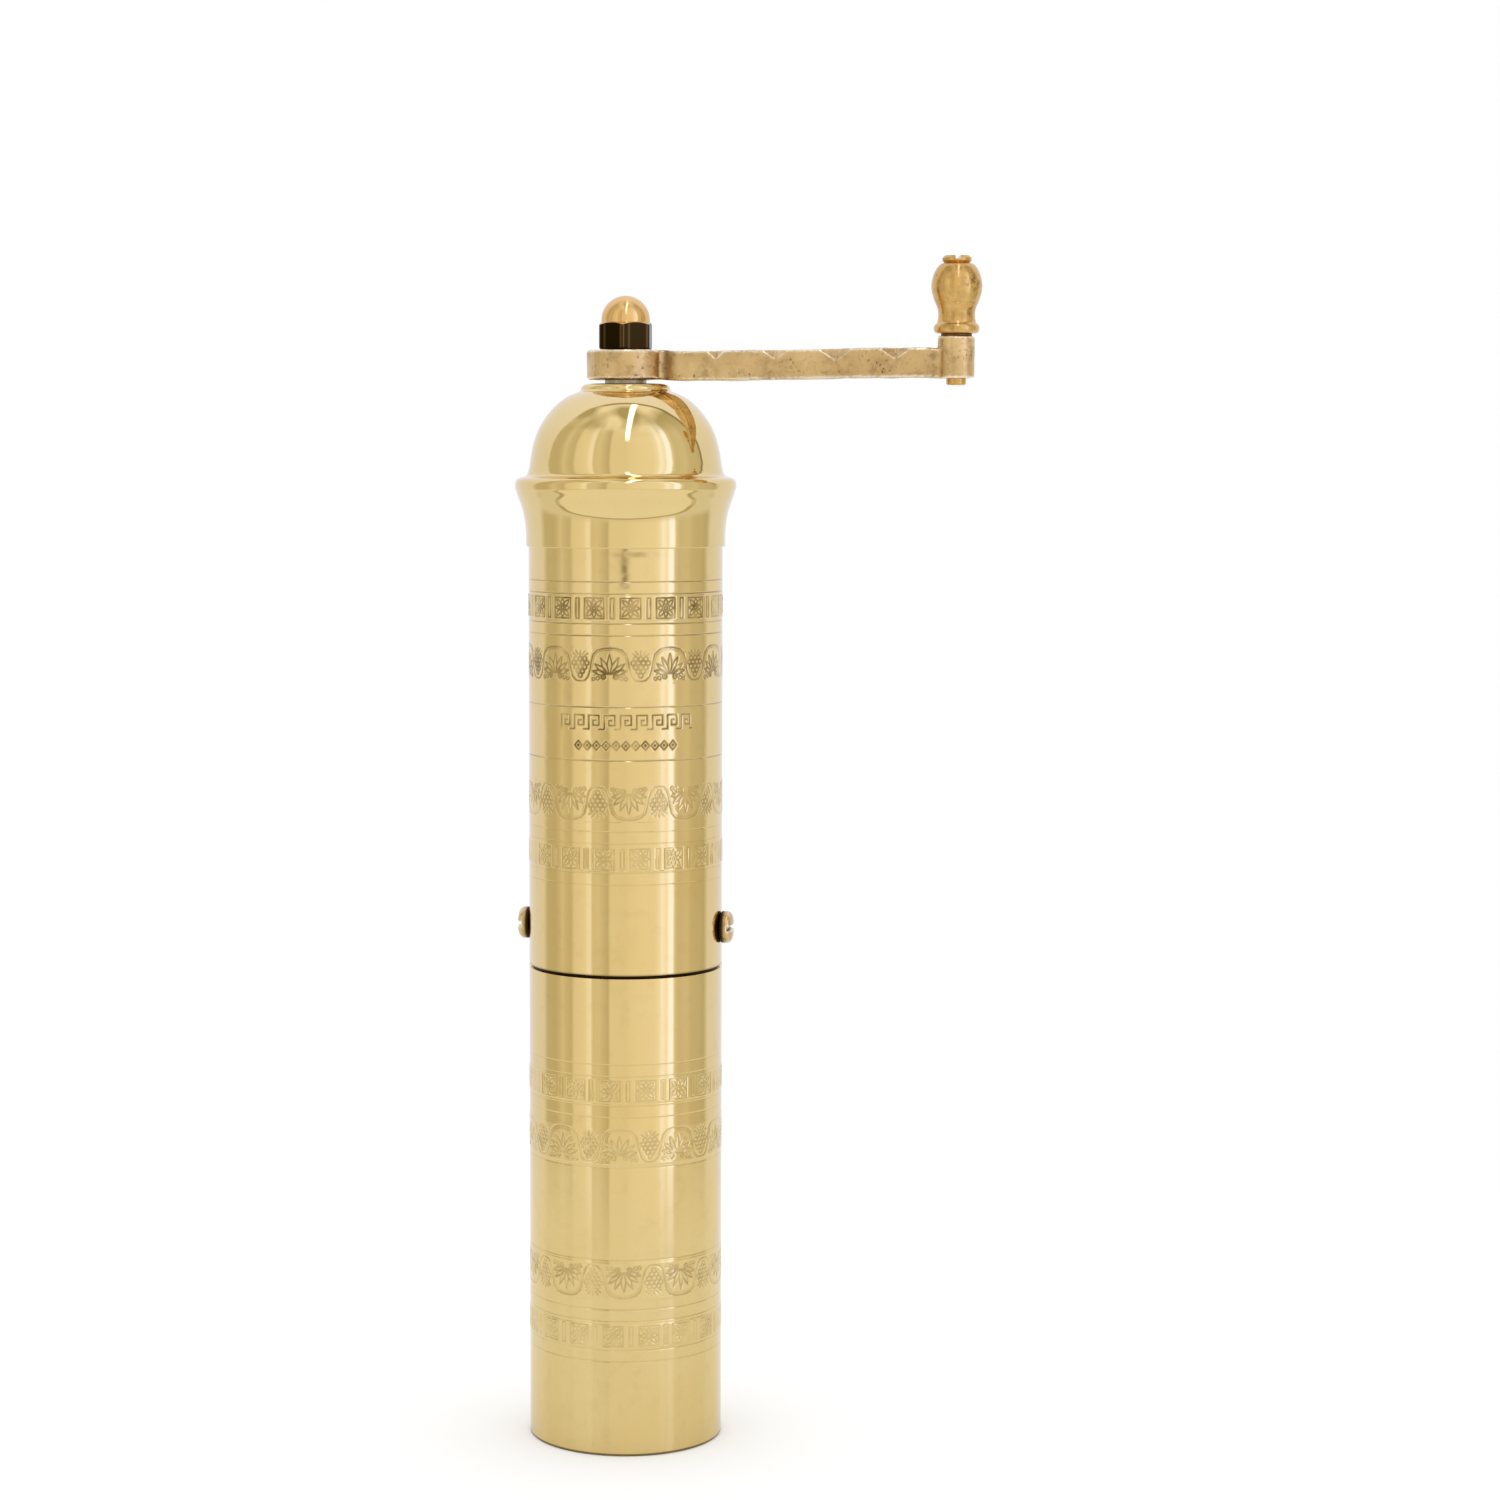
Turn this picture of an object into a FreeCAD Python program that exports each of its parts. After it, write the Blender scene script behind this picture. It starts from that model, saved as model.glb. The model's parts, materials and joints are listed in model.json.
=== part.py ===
"""Cylindrical brass hand coffee mill: a tall hopper over a pull-off grounds cup, with a domed lid,
a cast crank arm and a conical burr set between them.

Frame: millimetres, +Z up, origin at the centre of the cup's base. The crank arm and the two side
screws lie along X. Writes one STEP per sub-part to parts/.
"""

import FreeCAD
import Part
import math
import os

Vec = FreeCAD.Vector
UP = Vec(0, 0, 1)

# ---- driving dimensions --------------------------------------------------------------------------
TUBE_R = 25.0            # outside radius of the cup and the hopper tube
TUBE_WALL = 1.2
TUBE_IN_R = TUBE_R - TUBE_WALL
SLIP = 0.08              # radial clearance of the pull-off fits
RUN = 0.06               # radial clearance of the turning and threaded fits

CUP_TOP_Z = 123.0
SEAM_GAP = 0.8           # height of the sleeve's bead, seen as the dark line round the mill
HOPPER_Z = CUP_TOP_Z + SEAM_GAP
HOPPER_TOP_Z = 248.8
BASE_THICK = 1.5
SLEEVE_WALL = 1.05

SIDE_SCREW_Z = 133.5
SIDE_HEAD_R = 4.1
SIDE_HEAD_H = 3.3
SIDE_SHANK_R = 2.4

# Engraved ring lines. Each tube carries the same rings, mirrored above and below its middle band.
RING_DEPTH = 0.16
RING_HALF = 0.22
RING_OFFSETS = (24.75, 27.75, 35.25, 38.25)
HOPPER_MID_Z = 185.15
HOPPER_PANEL_OFFSET = 6.75
CUP_MID_Z = 62.75
CUP_PANEL_OFFSET = 11.95

# Lid
LID_SKIRT_R = 25.65
LID_LIP_Z = 231.7
LID_WALL = 1.0
LID_TOP_Z = 273.3
LID_BUSH_R = 7.6
JOURNAL_R = 5.35         # the spindle where it passes the lid

# Crank
HUB_Z = 274.4
HUB_R = 9.9
ARM_H = 7.5
HUB_TOP_Z = HUB_Z + ARM_H
CRANK_R = 84.6           # spindle axis to knob axis
BOSS_R = 4.6
BOSS_TOP_Z = 285.0
SQUARE = 8.2             # across the flats of the spindle's driving square
NUT_FLATS = 13.0         # an M8 cap nut
NUT_TURN = 4.0           # degrees that the nut's corner stands round from -Y
NUT_HEX_H = 7.0
NUT_DOME_R = 6.25
THREAD_R = 3.95

KNOB_Z = 285.6
KNOB_TOP_Z = 303.1
AXLE_R = 2.5
AXLE_HEAD_R = 3.7
AXLE_HEAD_H = 1.9
AXLE_TAIL_Z = 272.7
AXLE_SLOT_TURN = 10.0    # degrees that the head's slot stands round from the Y axis

# Burr set
RING_Z = 127.0           # underside of the fixed burr ring
RING_TOP_Z = 142.0
RING_OUT_R = TUBE_IN_R - 0.1
THROAT_Z = 136.0
THROAT_R = 13.2
RING_LOW_R = 15.4
RING_MOUTH_R = 17.0
BURR_GAP = 0.4           # radial gap at the bottom of the grinding faces, at rest
RING_TEETH = 30
BURR_TEETH = 30
BURR_FINS = 9
BURR_Z = 126.5
BURR_TOP_Z = 144.6
SPINDLE_R = 4.0
BALL_R = 2.4
BALL_Z = 120.6
ADJUSTER_R = 3.0
ADJUSTER_HEAD_Z = 99.0
ADJUSTER_HEAD_TOP = 105.0
ADJUSTER_HEAD_R = 8.0
BRIDGE_W = 12.0
BRIDGE_T = 2.0
BRIDGE_LOW_Z = 112.0
BRIDGE_HUB_R = 6.5
BRIDGE_SCREW_Y = 19.75
BRIDGE_SCREW_R = 1.5
LEG_OUT_R = TUBE_IN_R - 0.1
LEG_IN_R = 22.2
GUIDE_Z = 164.0          # underside of the guide bridge's crossbar


# ---- helpers -------------------------------------------------------------------------------------
def rz(r, z):
    """A point of a turned outline: radius and height."""
    return Vec(r, 0, z)


def arc(a, b, c):
    return Part.Arc(a, b, c).toShape()


def curve(points):
    """A smooth line through the points."""
    spline = Part.BSplineCurve()
    spline.interpolate(points)
    return spline.toShape()


def outline(*parts):
    """Joins points and edges, in order, into one closed wire."""
    edges, last, first = [], None, None
    for part in parts:
        start = part if isinstance(part, FreeCAD.Vector) else part.Vertexes[0].Point
        end = part if isinstance(part, FreeCAD.Vector) else part.Vertexes[-1].Point
        if last is not None and last.distanceToPoint(start) > 1e-6:
            edges.append(Part.makeLine(last, start))
        if not isinstance(part, FreeCAD.Vector):
            edges.append(part)
        first = first or start
        last = end
    if last.distanceToPoint(first) > 1e-6:
        edges.append(Part.makeLine(last, first))
    return Part.Wire(edges)


def turned(*parts):
    """A solid of revolution about Z from a closed outline."""
    return Part.Face(outline(*parts)).revolve(Vec(0, 0, 0), UP, 360)


def rod(r, z0, z1, x=0.0, y=0.0):
    return Part.makeCylinder(r, z1 - z0, Vec(x, y, z0), UP)


def tube(r_out, r_in, z0, z1, x=0.0):
    return rod(r_out, z0, z1, x).cut(rod(r_in, z0 - 1, z1 + 1, x))


def block(dx, dy, z0, z1, x=0.0, y=0.0):
    """A box centred on x, y."""
    return Part.makeBox(dx, dy, z1 - z0, Vec(x - dx / 2, y - dy / 2, z0))


def spun(shape, degrees, axis=UP, centre=Vec(0, 0, 0)):
    copy = shape.copy()
    copy.rotate(centre, axis, degrees)
    return copy


def around(shape, count):
    """Count copies of the shape, evenly spaced about Z, as one compound."""
    return Part.makeCompound([spun(shape, 360.0 * i / count) for i in range(count)])


def hexagon(flats, z0, z1, turn=0.0):
    corner = flats / math.sqrt(3)
    corners = []
    for i in range(7):
        angle = math.radians(-90 + turn + 60 * i)
        corners.append(Vec(corner * math.cos(angle), corner * math.sin(angle), z0))
    return Part.Face(Part.makePolygon(corners)).extrude(Vec(0, 0, z1 - z0))


def drive_square(flats, round_r, z0, z1):
    """A square milled on a round bar, so that its corners keep the bar's radius."""
    return block(flats, flats, z0, z1).common(rod(round_r, z0, z1))


def ringed_tube(z0, z1, middle, panel_offset):
    """A thin tube with small V grooves round its outside and eased end edges."""
    ease = 0.3
    offsets = (panel_offset,) + RING_OFFSETS
    rings = sorted([middle - d for d in offsets] + [middle + d for d in offsets])
    side = [rz(TUBE_IN_R, z0), rz(TUBE_R - ease, z0), rz(TUBE_R, z0 + ease)]
    for z in rings:
        side += [rz(TUBE_R, z - RING_HALF), rz(TUBE_R - RING_DEPTH, z), rz(TUBE_R, z + RING_HALF)]
    side += [rz(TUBE_R, z1 - ease), rz(TUBE_R - ease, z1), rz(TUBE_IN_R, z1)]
    return turned(*side)


def groove_cutter(r_top, z_top, r_low, z_low, half_width, depth, lean, inward):
    """A triangular prism laid along a cone's side, leaning round it, that cuts one tooth gap.

    inward is +1 for grooves in an outside cone, which point at the axis, and -1 for a ring's.
    """
    reach = 3.0
    angle = math.radians(lean)
    top = Vec(r_top * math.cos(angle), r_top * math.sin(angle), z_top)
    low = Vec(r_low, 0, z_low)
    along = (top - low).normalize()
    out = Vec(1, 0, 0) * inward
    out = (out - along * out.dot(along)).normalize()
    side = along.cross(out)
    start = low - along * reach
    length = (top - low).Length + 2 * reach
    mouth = half_width * (depth + reach) / depth
    apex = start - out * depth
    left = start + out * reach + side * mouth
    right = start + out * reach - side * mouth
    return Part.Face(Part.makePolygon([apex, left, right, apex])).extrude(along * length)


# ---- cup -----------------------------------------------------------------------------------------
def grounds_cup():
    return ringed_tube(0.0, CUP_TOP_Z, CUP_MID_Z, CUP_PANEL_OFFSET)


def cup_base_plate():
    return rod(TUBE_IN_R - 0.02, 0.0, BASE_THICK)


# ---- hopper --------------------------------------------------------------------------------------
def hopper_tube():
    shell = ringed_tube(HOPPER_Z, HOPPER_TOP_Z, HOPPER_MID_Z, HOPPER_PANEL_OFFSET)
    hole = Part.makeCylinder(SIDE_SHANK_R + 0.1, 60, Vec(-30, 0, SIDE_SCREW_Z), Vec(1, 0, 0))
    return shell.cut(hole)


def coupling_sleeve():
    """Spigot soldered in the hopper tube: the cup slides over its lower half, up to the bead."""
    wall = SLEEVE_WALL
    low, top = 112.0, 126.4
    slip_r = TUBE_IN_R - SLIP
    seat_r = TUBE_IN_R - 0.02
    bead_r = TUBE_R - 0.75
    return turned(
        rz(slip_r - wall, low), rz(slip_r - 0.4, low), rz(slip_r, low + 0.6),
        rz(slip_r, CUP_TOP_Z + 0.02), rz(bead_r, CUP_TOP_Z + 0.02), rz(bead_r, HOPPER_Z - 0.01),
        rz(seat_r, HOPPER_Z - 0.01), rz(seat_r, top), rz(slip_r - wall, top),
    )


def side_screws():
    """Two slotted pan-head screws that hold the burr set in the tube."""
    under = TUBE_R + 0.02
    crown = 0.9
    rim = SIDE_HEAD_H - crown
    slot = 1.3
    head = turned(
        rz(0, 0), rz(SIDE_HEAD_R - 0.35, 0), rz(SIDE_HEAD_R, 0.35), rz(SIDE_HEAD_R, rim - 0.9),
        curve([rz(SIDE_HEAD_R, rim - 0.9), rz(SIDE_HEAD_R - 0.35, rim + 0.1),
               rz(SIDE_HEAD_R * 0.6, SIDE_HEAD_H - 0.25), rz(0, SIDE_HEAD_H)]),
    )
    head = head.cut(block(slot, 12, SIDE_HEAD_H - 1.4, SIDE_HEAD_H + 1))
    screw = head.fuse(rod(SIDE_SHANK_R, -6.3, 0.0)).removeSplitter()
    screw.rotate(Vec(0, 0, 0), Vec(0, 1, 0), 90)
    screw.translate(Vec(under, 0, SIDE_SCREW_Z))
    return Part.makeCompound([screw, spun(screw, 180)])


# ---- burr set ------------------------------------------------------------------------------------
def burr_ring():
    body = turned(
        rz(RING_LOW_R, RING_Z), rz(RING_OUT_R, RING_Z), rz(RING_OUT_R, RING_TOP_Z),
        rz(RING_MOUTH_R, RING_TOP_Z), rz(THROAT_R, THROAT_Z),
    )
    fine = groove_cutter(THROAT_R, THROAT_Z, RING_LOW_R, RING_Z, 0.95, 0.9, 12, -1)
    body = body.cut(around(fine, RING_TEETH))
    slots = tube(RING_OUT_R + 1, LEG_IN_R - 0.04, RING_Z - 1, RING_TOP_Z + 1)
    body = body.cut(slots.common(block(60, BRIDGE_W + 0.1, RING_Z - 1, RING_TOP_Z + 1)))
    screw_hole = Part.makeCylinder(SIDE_SHANK_R + 0.02, 60, Vec(-30, 0, SIDE_SCREW_Z), Vec(1, 0, 0))
    body = body.cut(screw_hole.cut(rod(18.4, 120, 150)))
    for side in (-1, 1):
        body = body.cut(rod(BRIDGE_SCREW_R + 0.02, RING_Z - 1, RING_Z + 6.5, 0, side * BRIDGE_SCREW_Y))
    return body


def male_burr():
    low_r = RING_LOW_R - BURR_GAP
    waist_r = THROAT_R - 1.3
    cone = turned(
        rz(0, BURR_Z), rz(low_r - 0.5, BURR_Z), rz(low_r, BURR_Z + 0.6),
        rz(waist_r, THROAT_Z), rz(7.2, BURR_TOP_Z - 1.2), rz(6.4, BURR_TOP_Z), rz(0, BURR_TOP_Z),
    )
    fine = groove_cutter(waist_r, THROAT_Z, low_r, BURR_Z + 0.6, 0.85, 0.8, -12, 1)
    fins = groove_cutter(6.8, BURR_TOP_Z, waist_r, THROAT_Z - 2.5, 2.1, 2.3, -34, 1)
    fins = fins.common(rod(30, THROAT_Z - 2.5, BURR_TOP_Z + 10))
    cone = cone.cut(around(fine, BURR_TEETH))
    cone = cone.cut(around(fins, BURR_FINS))
    collar = turned(rz(0, BURR_Z), rz(6.9, BURR_Z), rz(6.4, BURR_TOP_Z), rz(0, BURR_TOP_Z))
    return cone.fuse(collar).cut(rod(SPINDLE_R, 100, 200)).removeSplitter()


def burr_nut():
    low, top = 122.4, 126.4
    return chamfered_nut(NUT_FLATS, low, top).cut(rod(SPINDLE_R, low - 1, top + 1))


def chamfered_nut(flats, z0, z1, turn=0.0):
    """A hexagon whose corners are eased top and bottom by a 30 degree cone."""
    corner = flats / math.sqrt(3)
    drop = (corner - flats / 2 + 0.15) * math.tan(math.radians(30))
    inner = flats / 2 - 0.15
    limit = turned(
        rz(0, z0), rz(inner, z0), rz(corner, z0 + drop), rz(corner, z1 - drop), rz(inner, z1),
        rz(0, z1),
    )
    return hexagon(flats, z0, z1, turn).common(limit)


def spindle():
    journal_z = 256.0
    square_top = HUB_TOP_Z - 0.4
    tip = 290.6
    shaft = turned(
        rz(0, BALL_Z + 1.0), rz(3.2, BALL_Z + 1.0), rz(SPINDLE_R - RUN, BALL_Z + 1.8),
        rz(SPINDLE_R - RUN, journal_z - 1.4), rz(JOURNAL_R, journal_z), rz(JOURNAL_R, HUB_Z),
        rz(0, HUB_Z),
    )
    shaft = shaft.fuse(drive_square(SQUARE, JOURNAL_R, HUB_Z, square_top))
    thread = turned(
        rz(0, square_top), rz(THREAD_R, square_top), rz(THREAD_R, tip - 0.8),
        rz(THREAD_R - 0.8, tip), rz(0, tip),
    )
    shaft = shaft.fuse(thread).removeSplitter()
    return shaft.cut(Part.makeSphere(BALL_R + 0.05, Vec(0, 0, BALL_Z)))


def thrust_ball():
    return Part.makeSphere(BALL_R, Vec(0, 0, BALL_Z))


def adjusting_screw():
    """Thumb screw that carries the thrust ball: turning it raises and lowers the cone burr."""
    flutes = 20
    tip = BALL_Z - 1.0
    head = turned(
        rz(0, ADJUSTER_HEAD_Z), rz(ADJUSTER_HEAD_R - 0.8, ADJUSTER_HEAD_Z),
        rz(ADJUSTER_HEAD_R, ADJUSTER_HEAD_Z + 0.8), rz(ADJUSTER_HEAD_R, ADJUSTER_HEAD_TOP - 0.8),
        rz(ADJUSTER_HEAD_R - 0.8, ADJUSTER_HEAD_TOP), rz(0, ADJUSTER_HEAD_TOP),
    )
    flute = rod(0.75, ADJUSTER_HEAD_Z - 1, ADJUSTER_HEAD_TOP + 1, ADJUSTER_HEAD_R + 0.3)
    head = head.cut(around(flute, flutes))
    shank = rod(ADJUSTER_R, ADJUSTER_HEAD_TOP - 0.5, tip)
    screw = head.fuse(shank).removeSplitter()
    return screw.cut(Part.makeSphere(BALL_R + 0.05, Vec(0, 0, BALL_Z)))


def lock_nut():
    top = BRIDGE_LOW_Z - 1.0
    return chamfered_nut(10.0, top - 4.0, top).cut(rod(ADJUSTER_R + RUN, 90, 130))


def lower_bridge():
    """Stirrup under the burr ring with the adjusting screw's threaded boss."""
    foot, knee, sole = 22.2, 15.9, 9.0
    top = RING_Z
    low = BRIDGE_LOW_Z + BRIDGE_T
    outer_knee = knee + 1.2
    outer_sole = sole + 1.2
    half = [
        (foot, top), (knee, top), (sole, low), (-sole, low), (-knee, top), (-foot, top),
        (-foot, top - BRIDGE_T), (-outer_knee, top - BRIDGE_T), (-outer_sole, BRIDGE_LOW_Z),
        (outer_sole, BRIDGE_LOW_Z), (outer_knee, top - BRIDGE_T), (foot, top - BRIDGE_T),
        (foot, top),
    ]
    corners = [Vec(-BRIDGE_W / 2, y, z) for y, z in half]
    strap = Part.Face(Part.makePolygon(corners)).extrude(Vec(BRIDGE_W, 0, 0))
    strap = strap.common(rod(TUBE_IN_R - SLIP - SLEEVE_WALL - 0.15, 100, RING_Z))
    hub = rod(BRIDGE_HUB_R, BRIDGE_LOW_Z - 1.0, low + 1.2)
    body = strap.fuse(hub).removeSplitter().cut(rod(ADJUSTER_R + RUN, 90, 130))
    for side in (-1, 1):
        body = body.cut(rod(BRIDGE_SCREW_R + 0.05, 110, 130, 0, side * BRIDGE_SCREW_Y))
    return body


def bridge_screws():
    head_top = RING_Z - BRIDGE_T
    head_r, head_h, slot = 2.4, 1.9, 0.8
    head = rod(head_r, head_top - head_h, head_top)
    head = head.cut(block(slot, 10, head_top - head_h - 1, head_top - head_h + 1.0))
    screw = head.fuse(rod(BRIDGE_SCREW_R, head_top, RING_Z + 6.0)).removeSplitter()
    screw.translate(Vec(0, BRIDGE_SCREW_Y, 0))
    return Part.makeCompound([screw, spun(screw, 180)])


def guide_bridge():
    """Inverted U strap held by the side screws; its crossbar centres the spindle over the burrs."""
    leg_z = 129.0
    top = GUIDE_Z + BRIDGE_T
    ring = tube(LEG_OUT_R, LEG_IN_R, leg_z, top)
    legs = ring.common(block(60, BRIDGE_W, leg_z, top))
    bar = block(2 * LEG_OUT_R, BRIDGE_W, GUIDE_Z, top).common(rod(LEG_OUT_R, GUIDE_Z, top))
    bar = bar.fuse(rod(9.0, GUIDE_Z, top))
    strap = legs.fuse(bar).removeSplitter().cut(rod(6.0, GUIDE_Z - 1, top + 1))
    hole = Part.makeCylinder(SIDE_SHANK_R + 0.1, 60, Vec(-30, 0, SIDE_SCREW_Z), Vec(1, 0, 0))
    return strap.cut(hole)


def guide_bush():
    """Flanged bush pressed into the guide bridge."""
    return turned(
        rz(SPINDLE_R, GUIDE_Z - 3.6), rz(7.6, GUIDE_Z - 3.6), rz(7.6, GUIDE_Z - 0.02),
        rz(5.98, GUIDE_Z - 0.02), rz(5.98, GUIDE_Z + BRIDGE_T + 1.2),
        rz(SPINDLE_R, GUIDE_Z + BRIDGE_T + 1.2),
    )


def spring_washer():
    top = GUIDE_Z - 3.65
    return tube(7.4, SPINDLE_R + 0.3, top - 0.9, top)


def burr_spring():
    """Compression spring that presses the cone burr down on the thrust ball."""
    wire = 0.6
    coil_r = 5.55
    turns = 6
    low = BURR_TOP_Z + 0.02 + wire
    high = GUIDE_Z - 3.65 - 0.9 - 0.05 - wire
    pitch = (high - low) / turns
    helix = Part.makeHelix(pitch, high - low, coil_r)
    helix.translate(Vec(0, 0, low))
    lead = math.atan2(pitch, 2 * math.pi * coil_r)
    heading = Vec(0, math.cos(lead), math.sin(lead))
    section = Part.Wire([Part.makeCircle(wire, Vec(coil_r, 0, low), heading)])
    coil = Part.Wire(helix.Edges).makePipeShell([section], True, True)
    return coil


# ---- lid -----------------------------------------------------------------------------------------
def dome_lid():
    """Spun lid: skirt over the tube, cove, round bead, dome and a small flat for the crank."""
    skirt_in = TUBE_R + SLIP
    hole = LID_BUSH_R
    cove = [rz(LID_SKIRT_R, 234.0), rz(25.95, 237.9), rz(26.95, 242.3), rz(28.1, 245.6)]
    bead = arc(rz(28.1, 245.6), rz(28.35, 248.35), rz(26.4, 249.65))
    dome = [
        rz(25.2, 250.3), rz(24.45, 254.4), rz(23.45, 259.0), rz(21.55, 263.3), rz(18.5, 267.3),
        rz(14.7, 270.2), rz(11.7, 271.5),
    ]
    lip = arc(rz(11.7, 271.5), rz(11.1, 272.8), rz(10.1, LID_TOP_Z))
    inner_cove = [rz(skirt_in, 237.0), rz(25.3, 239.4), rz(26.1, 242.8), rz(27.1, 245.8)]
    inner_bead = arc(rz(27.1, 245.8), rz(27.3, 247.9), rz(26.0, 248.9))
    inner_dome = [
        rz(23.75, 250.0), rz(23.4, 253.6), rz(22.8, 257.2), rz(21.55, 260.8), rz(19.35, 264.5),
        rz(16.3, 267.75), rz(13.0, 269.75), rz(11.0, 270.7), rz(9.9, LID_TOP_Z - 1.2),
    ]
    return turned(
        rz(skirt_in, LID_LIP_Z), rz(LID_SKIRT_R - 0.15, LID_LIP_Z),
        rz(LID_SKIRT_R, LID_LIP_Z + 0.15), curve(cove), bead, curve(dome), lip,
        rz(hole, LID_TOP_Z), rz(hole, LID_TOP_Z - 1.2), curve(inner_dome[::-1]),
        rz(23.75, 248.9), inner_bead_reversed(inner_bead), curve(inner_cove[::-1]),
    )


def inner_bead_reversed(edge):
    """The same arc, run from its far end."""
    first, last = edge.Vertexes[0].Point, edge.Vertexes[-1].Point
    middle = edge.valueAt((edge.FirstParameter + edge.LastParameter) / 2)
    return arc(last, middle, first)


def lid_bush():
    """Flanged bush in the lid's crown that the spindle turns in."""
    bore = JOURNAL_R + RUN
    spigot = LID_BUSH_R - 0.02
    seat = LID_TOP_Z - 1.2
    return turned(
        rz(bore, 262.0), rz(spigot - 0.6, 262.0), rz(spigot, 262.6), rz(spigot, 269.2),
        rz(9.5, 269.6), rz(9.5, seat), rz(spigot, seat), rz(spigot, LID_TOP_Z - 0.05),
        rz(bore + 0.3, LID_TOP_Z - 0.05), rz(bore, LID_TOP_Z - 0.35),
    )


# ---- crank ---------------------------------------------------------------------------------------
NOTCHES = ((24.0, 2.2, 4.6), (39.3, 2.5, 7.0), (54.7, 3.1, 8.8), (69.7, 2.9, 8.6))   # x, depth, length


def arm_plan_edge(side):
    """One long edge of the arm in plan: a narrow waist at each end and a slow swell between."""
    points = [(9.0, 4.0), (9.9, 3.15), (11.0, 3.0), (12.4, 3.6), (14.6, 4.4), (20.0, 4.8),
              (31.0, 5.1), (46.0, 4.9), (62.0, 4.3), (75.0, 3.8), (78.2, 3.3), (80.0, 3.0),
              (CRANK_R - 1.5, 3.0)]
    return curve([Vec(x, side * y, HUB_Z) for x, y in points])


def notch(x, depth, length, side):
    """A V cut across a top edge of the arm, running out on the side and on the top face."""
    edge_y = side * arm_half_width(x)
    reach = 2.0
    valley = Vec(x, edge_y, HUB_TOP_Z - depth)
    along = Vec(0, -side, 1).normalize()
    out = Vec(0, side, 1).normalize()
    rise = depth / math.sqrt(2)
    mouth = length / 2 * (rise + reach) / rise
    start = valley - along * 6
    far = start + out * (rise + reach)
    corners = [start, far + Vec(mouth, 0, 0), far - Vec(mouth, 0, 0), start]
    return Part.Face(Part.makePolygon(corners)).extrude(along * 16)


def arm_half_width(x):
    """Half the arm's width at x, read from its plan edge."""
    edge = arm_plan_edge(1)
    probe = Part.makeLine(Vec(x, 0, HUB_Z), Vec(x, 20, HUB_Z))
    return edge.distToShape(probe)[1][0][0].y


def crank_arm():
    upper, lower = arm_plan_edge(1), arm_plan_edge(-1)
    near = Part.makeLine(lower.Vertexes[0].Point, upper.Vertexes[0].Point)
    far = Part.makeLine(upper.Vertexes[-1].Point, lower.Vertexes[-1].Point)
    wire = Part.Wire(Part.__sortEdges__([upper, far, lower, near]))
    beam = Part.Face(wire).extrude(Vec(0, 0, ARM_H))
    hub = rod(HUB_R, HUB_Z, HUB_TOP_Z)
    boss = rod(BOSS_R, HUB_Z, BOSS_TOP_Z, CRANK_R)
    body = beam.fuse(hub).removeSplitter()
    ends = [e for e in body.Edges if abs(e.BoundBox.ZLength) < 1e-6]
    body = body.makeFillet(0.7, ends)
    body = body.fuse(eased(boss)).removeSplitter()
    for x, depth, length in NOTCHES:
        for side in (-1, 1):
            body = body.cut(notch(x, depth, length, side))
    hole = drive_square(SQUARE + 0.12, JOURNAL_R + RUN, HUB_Z - 1, HUB_TOP_Z + 1)
    axle_hole = rod(AXLE_R + 0.02, HUB_Z - 5, BOSS_TOP_Z + 5, CRANK_R)
    return body.cut(hole).cut(axle_hole)


def eased(cylinder):
    """The cylinder with its end edges rounded."""
    rims = [e for e in cylinder.Edges if e.Closed]
    return cylinder.makeFillet(0.5, rims)


def cap_nut():
    low = HUB_TOP_Z + 0.02
    hex_top = low + NUT_HEX_H
    dome_z = hex_top + 0.6
    hex_part = chamfered_nut(NUT_FLATS, low, hex_top, NUT_TURN)
    dome = turned(
        rz(0, low), rz(NUT_DOME_R, low), rz(NUT_DOME_R, dome_z),
        arc(rz(NUT_DOME_R, dome_z), rz(NUT_DOME_R * math.sqrt(0.5), dome_z + NUT_DOME_R * math.sqrt(0.5)),
            rz(0, dome_z + NUT_DOME_R)),
    )
    bore = turned(
        rz(0, low - 1), rz(THREAD_R + RUN, low - 1), rz(THREAD_R + RUN, 291.2), rz(0, 293.0),
    )
    return hex_part.fuse(dome).removeSplitter().cut(bore)


def knob():
    """Turned grip: round bulb, waist and a stepped foot."""
    bore = AXLE_R + 0.1
    body = turned(
        rz(bore, KNOB_Z), rz(5.1, KNOB_Z), arc(rz(5.1, KNOB_Z), rz(5.7, 286.5), rz(5.35, 287.5)),
        arc(rz(5.35, 287.5), rz(5.3, 288.05), rz(4.95, 288.3)),
        curve([rz(4.95, 288.3), rz(4.62, 289.8), rz(4.7, 291.3), rz(5.3, 293.1), rz(6.0, 295.1),
               rz(6.38, 297.3), rz(6.1, 299.5), rz(5.25, 301.5), rz(4.1, KNOB_TOP_Z)]),
        rz(bore, KNOB_TOP_Z),
    )
    body.translate(Vec(CRANK_R, 0, 0))
    return body


def knob_axle():
    """Slotted screw that the knob turns on; its tail stands through the boss."""
    head_z = KNOB_TOP_Z + 0.1
    head_top = head_z + AXLE_HEAD_H
    slot = 1.4
    body = turned(
        rz(0, AXLE_TAIL_Z), rz(AXLE_R - 0.3, AXLE_TAIL_Z), rz(AXLE_R, AXLE_TAIL_Z + 0.3),
        rz(AXLE_R, head_z), rz(AXLE_HEAD_R - 0.5, head_z), rz(AXLE_HEAD_R, head_z + 0.6),
        rz(AXLE_HEAD_R, head_top - 0.6), rz(AXLE_HEAD_R - 0.6, head_top), rz(0, head_top),
    )
    body = body.cut(spun(block(slot, 12, head_top - 0.9, head_top + 1), AXLE_SLOT_TURN))
    body.translate(Vec(CRANK_R, 0, 0))
    return body


def knob_washer():
    return tube(3.9, AXLE_R + 0.05, BOSS_TOP_Z + 0.02, KNOB_Z - 0.05, CRANK_R)


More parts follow.
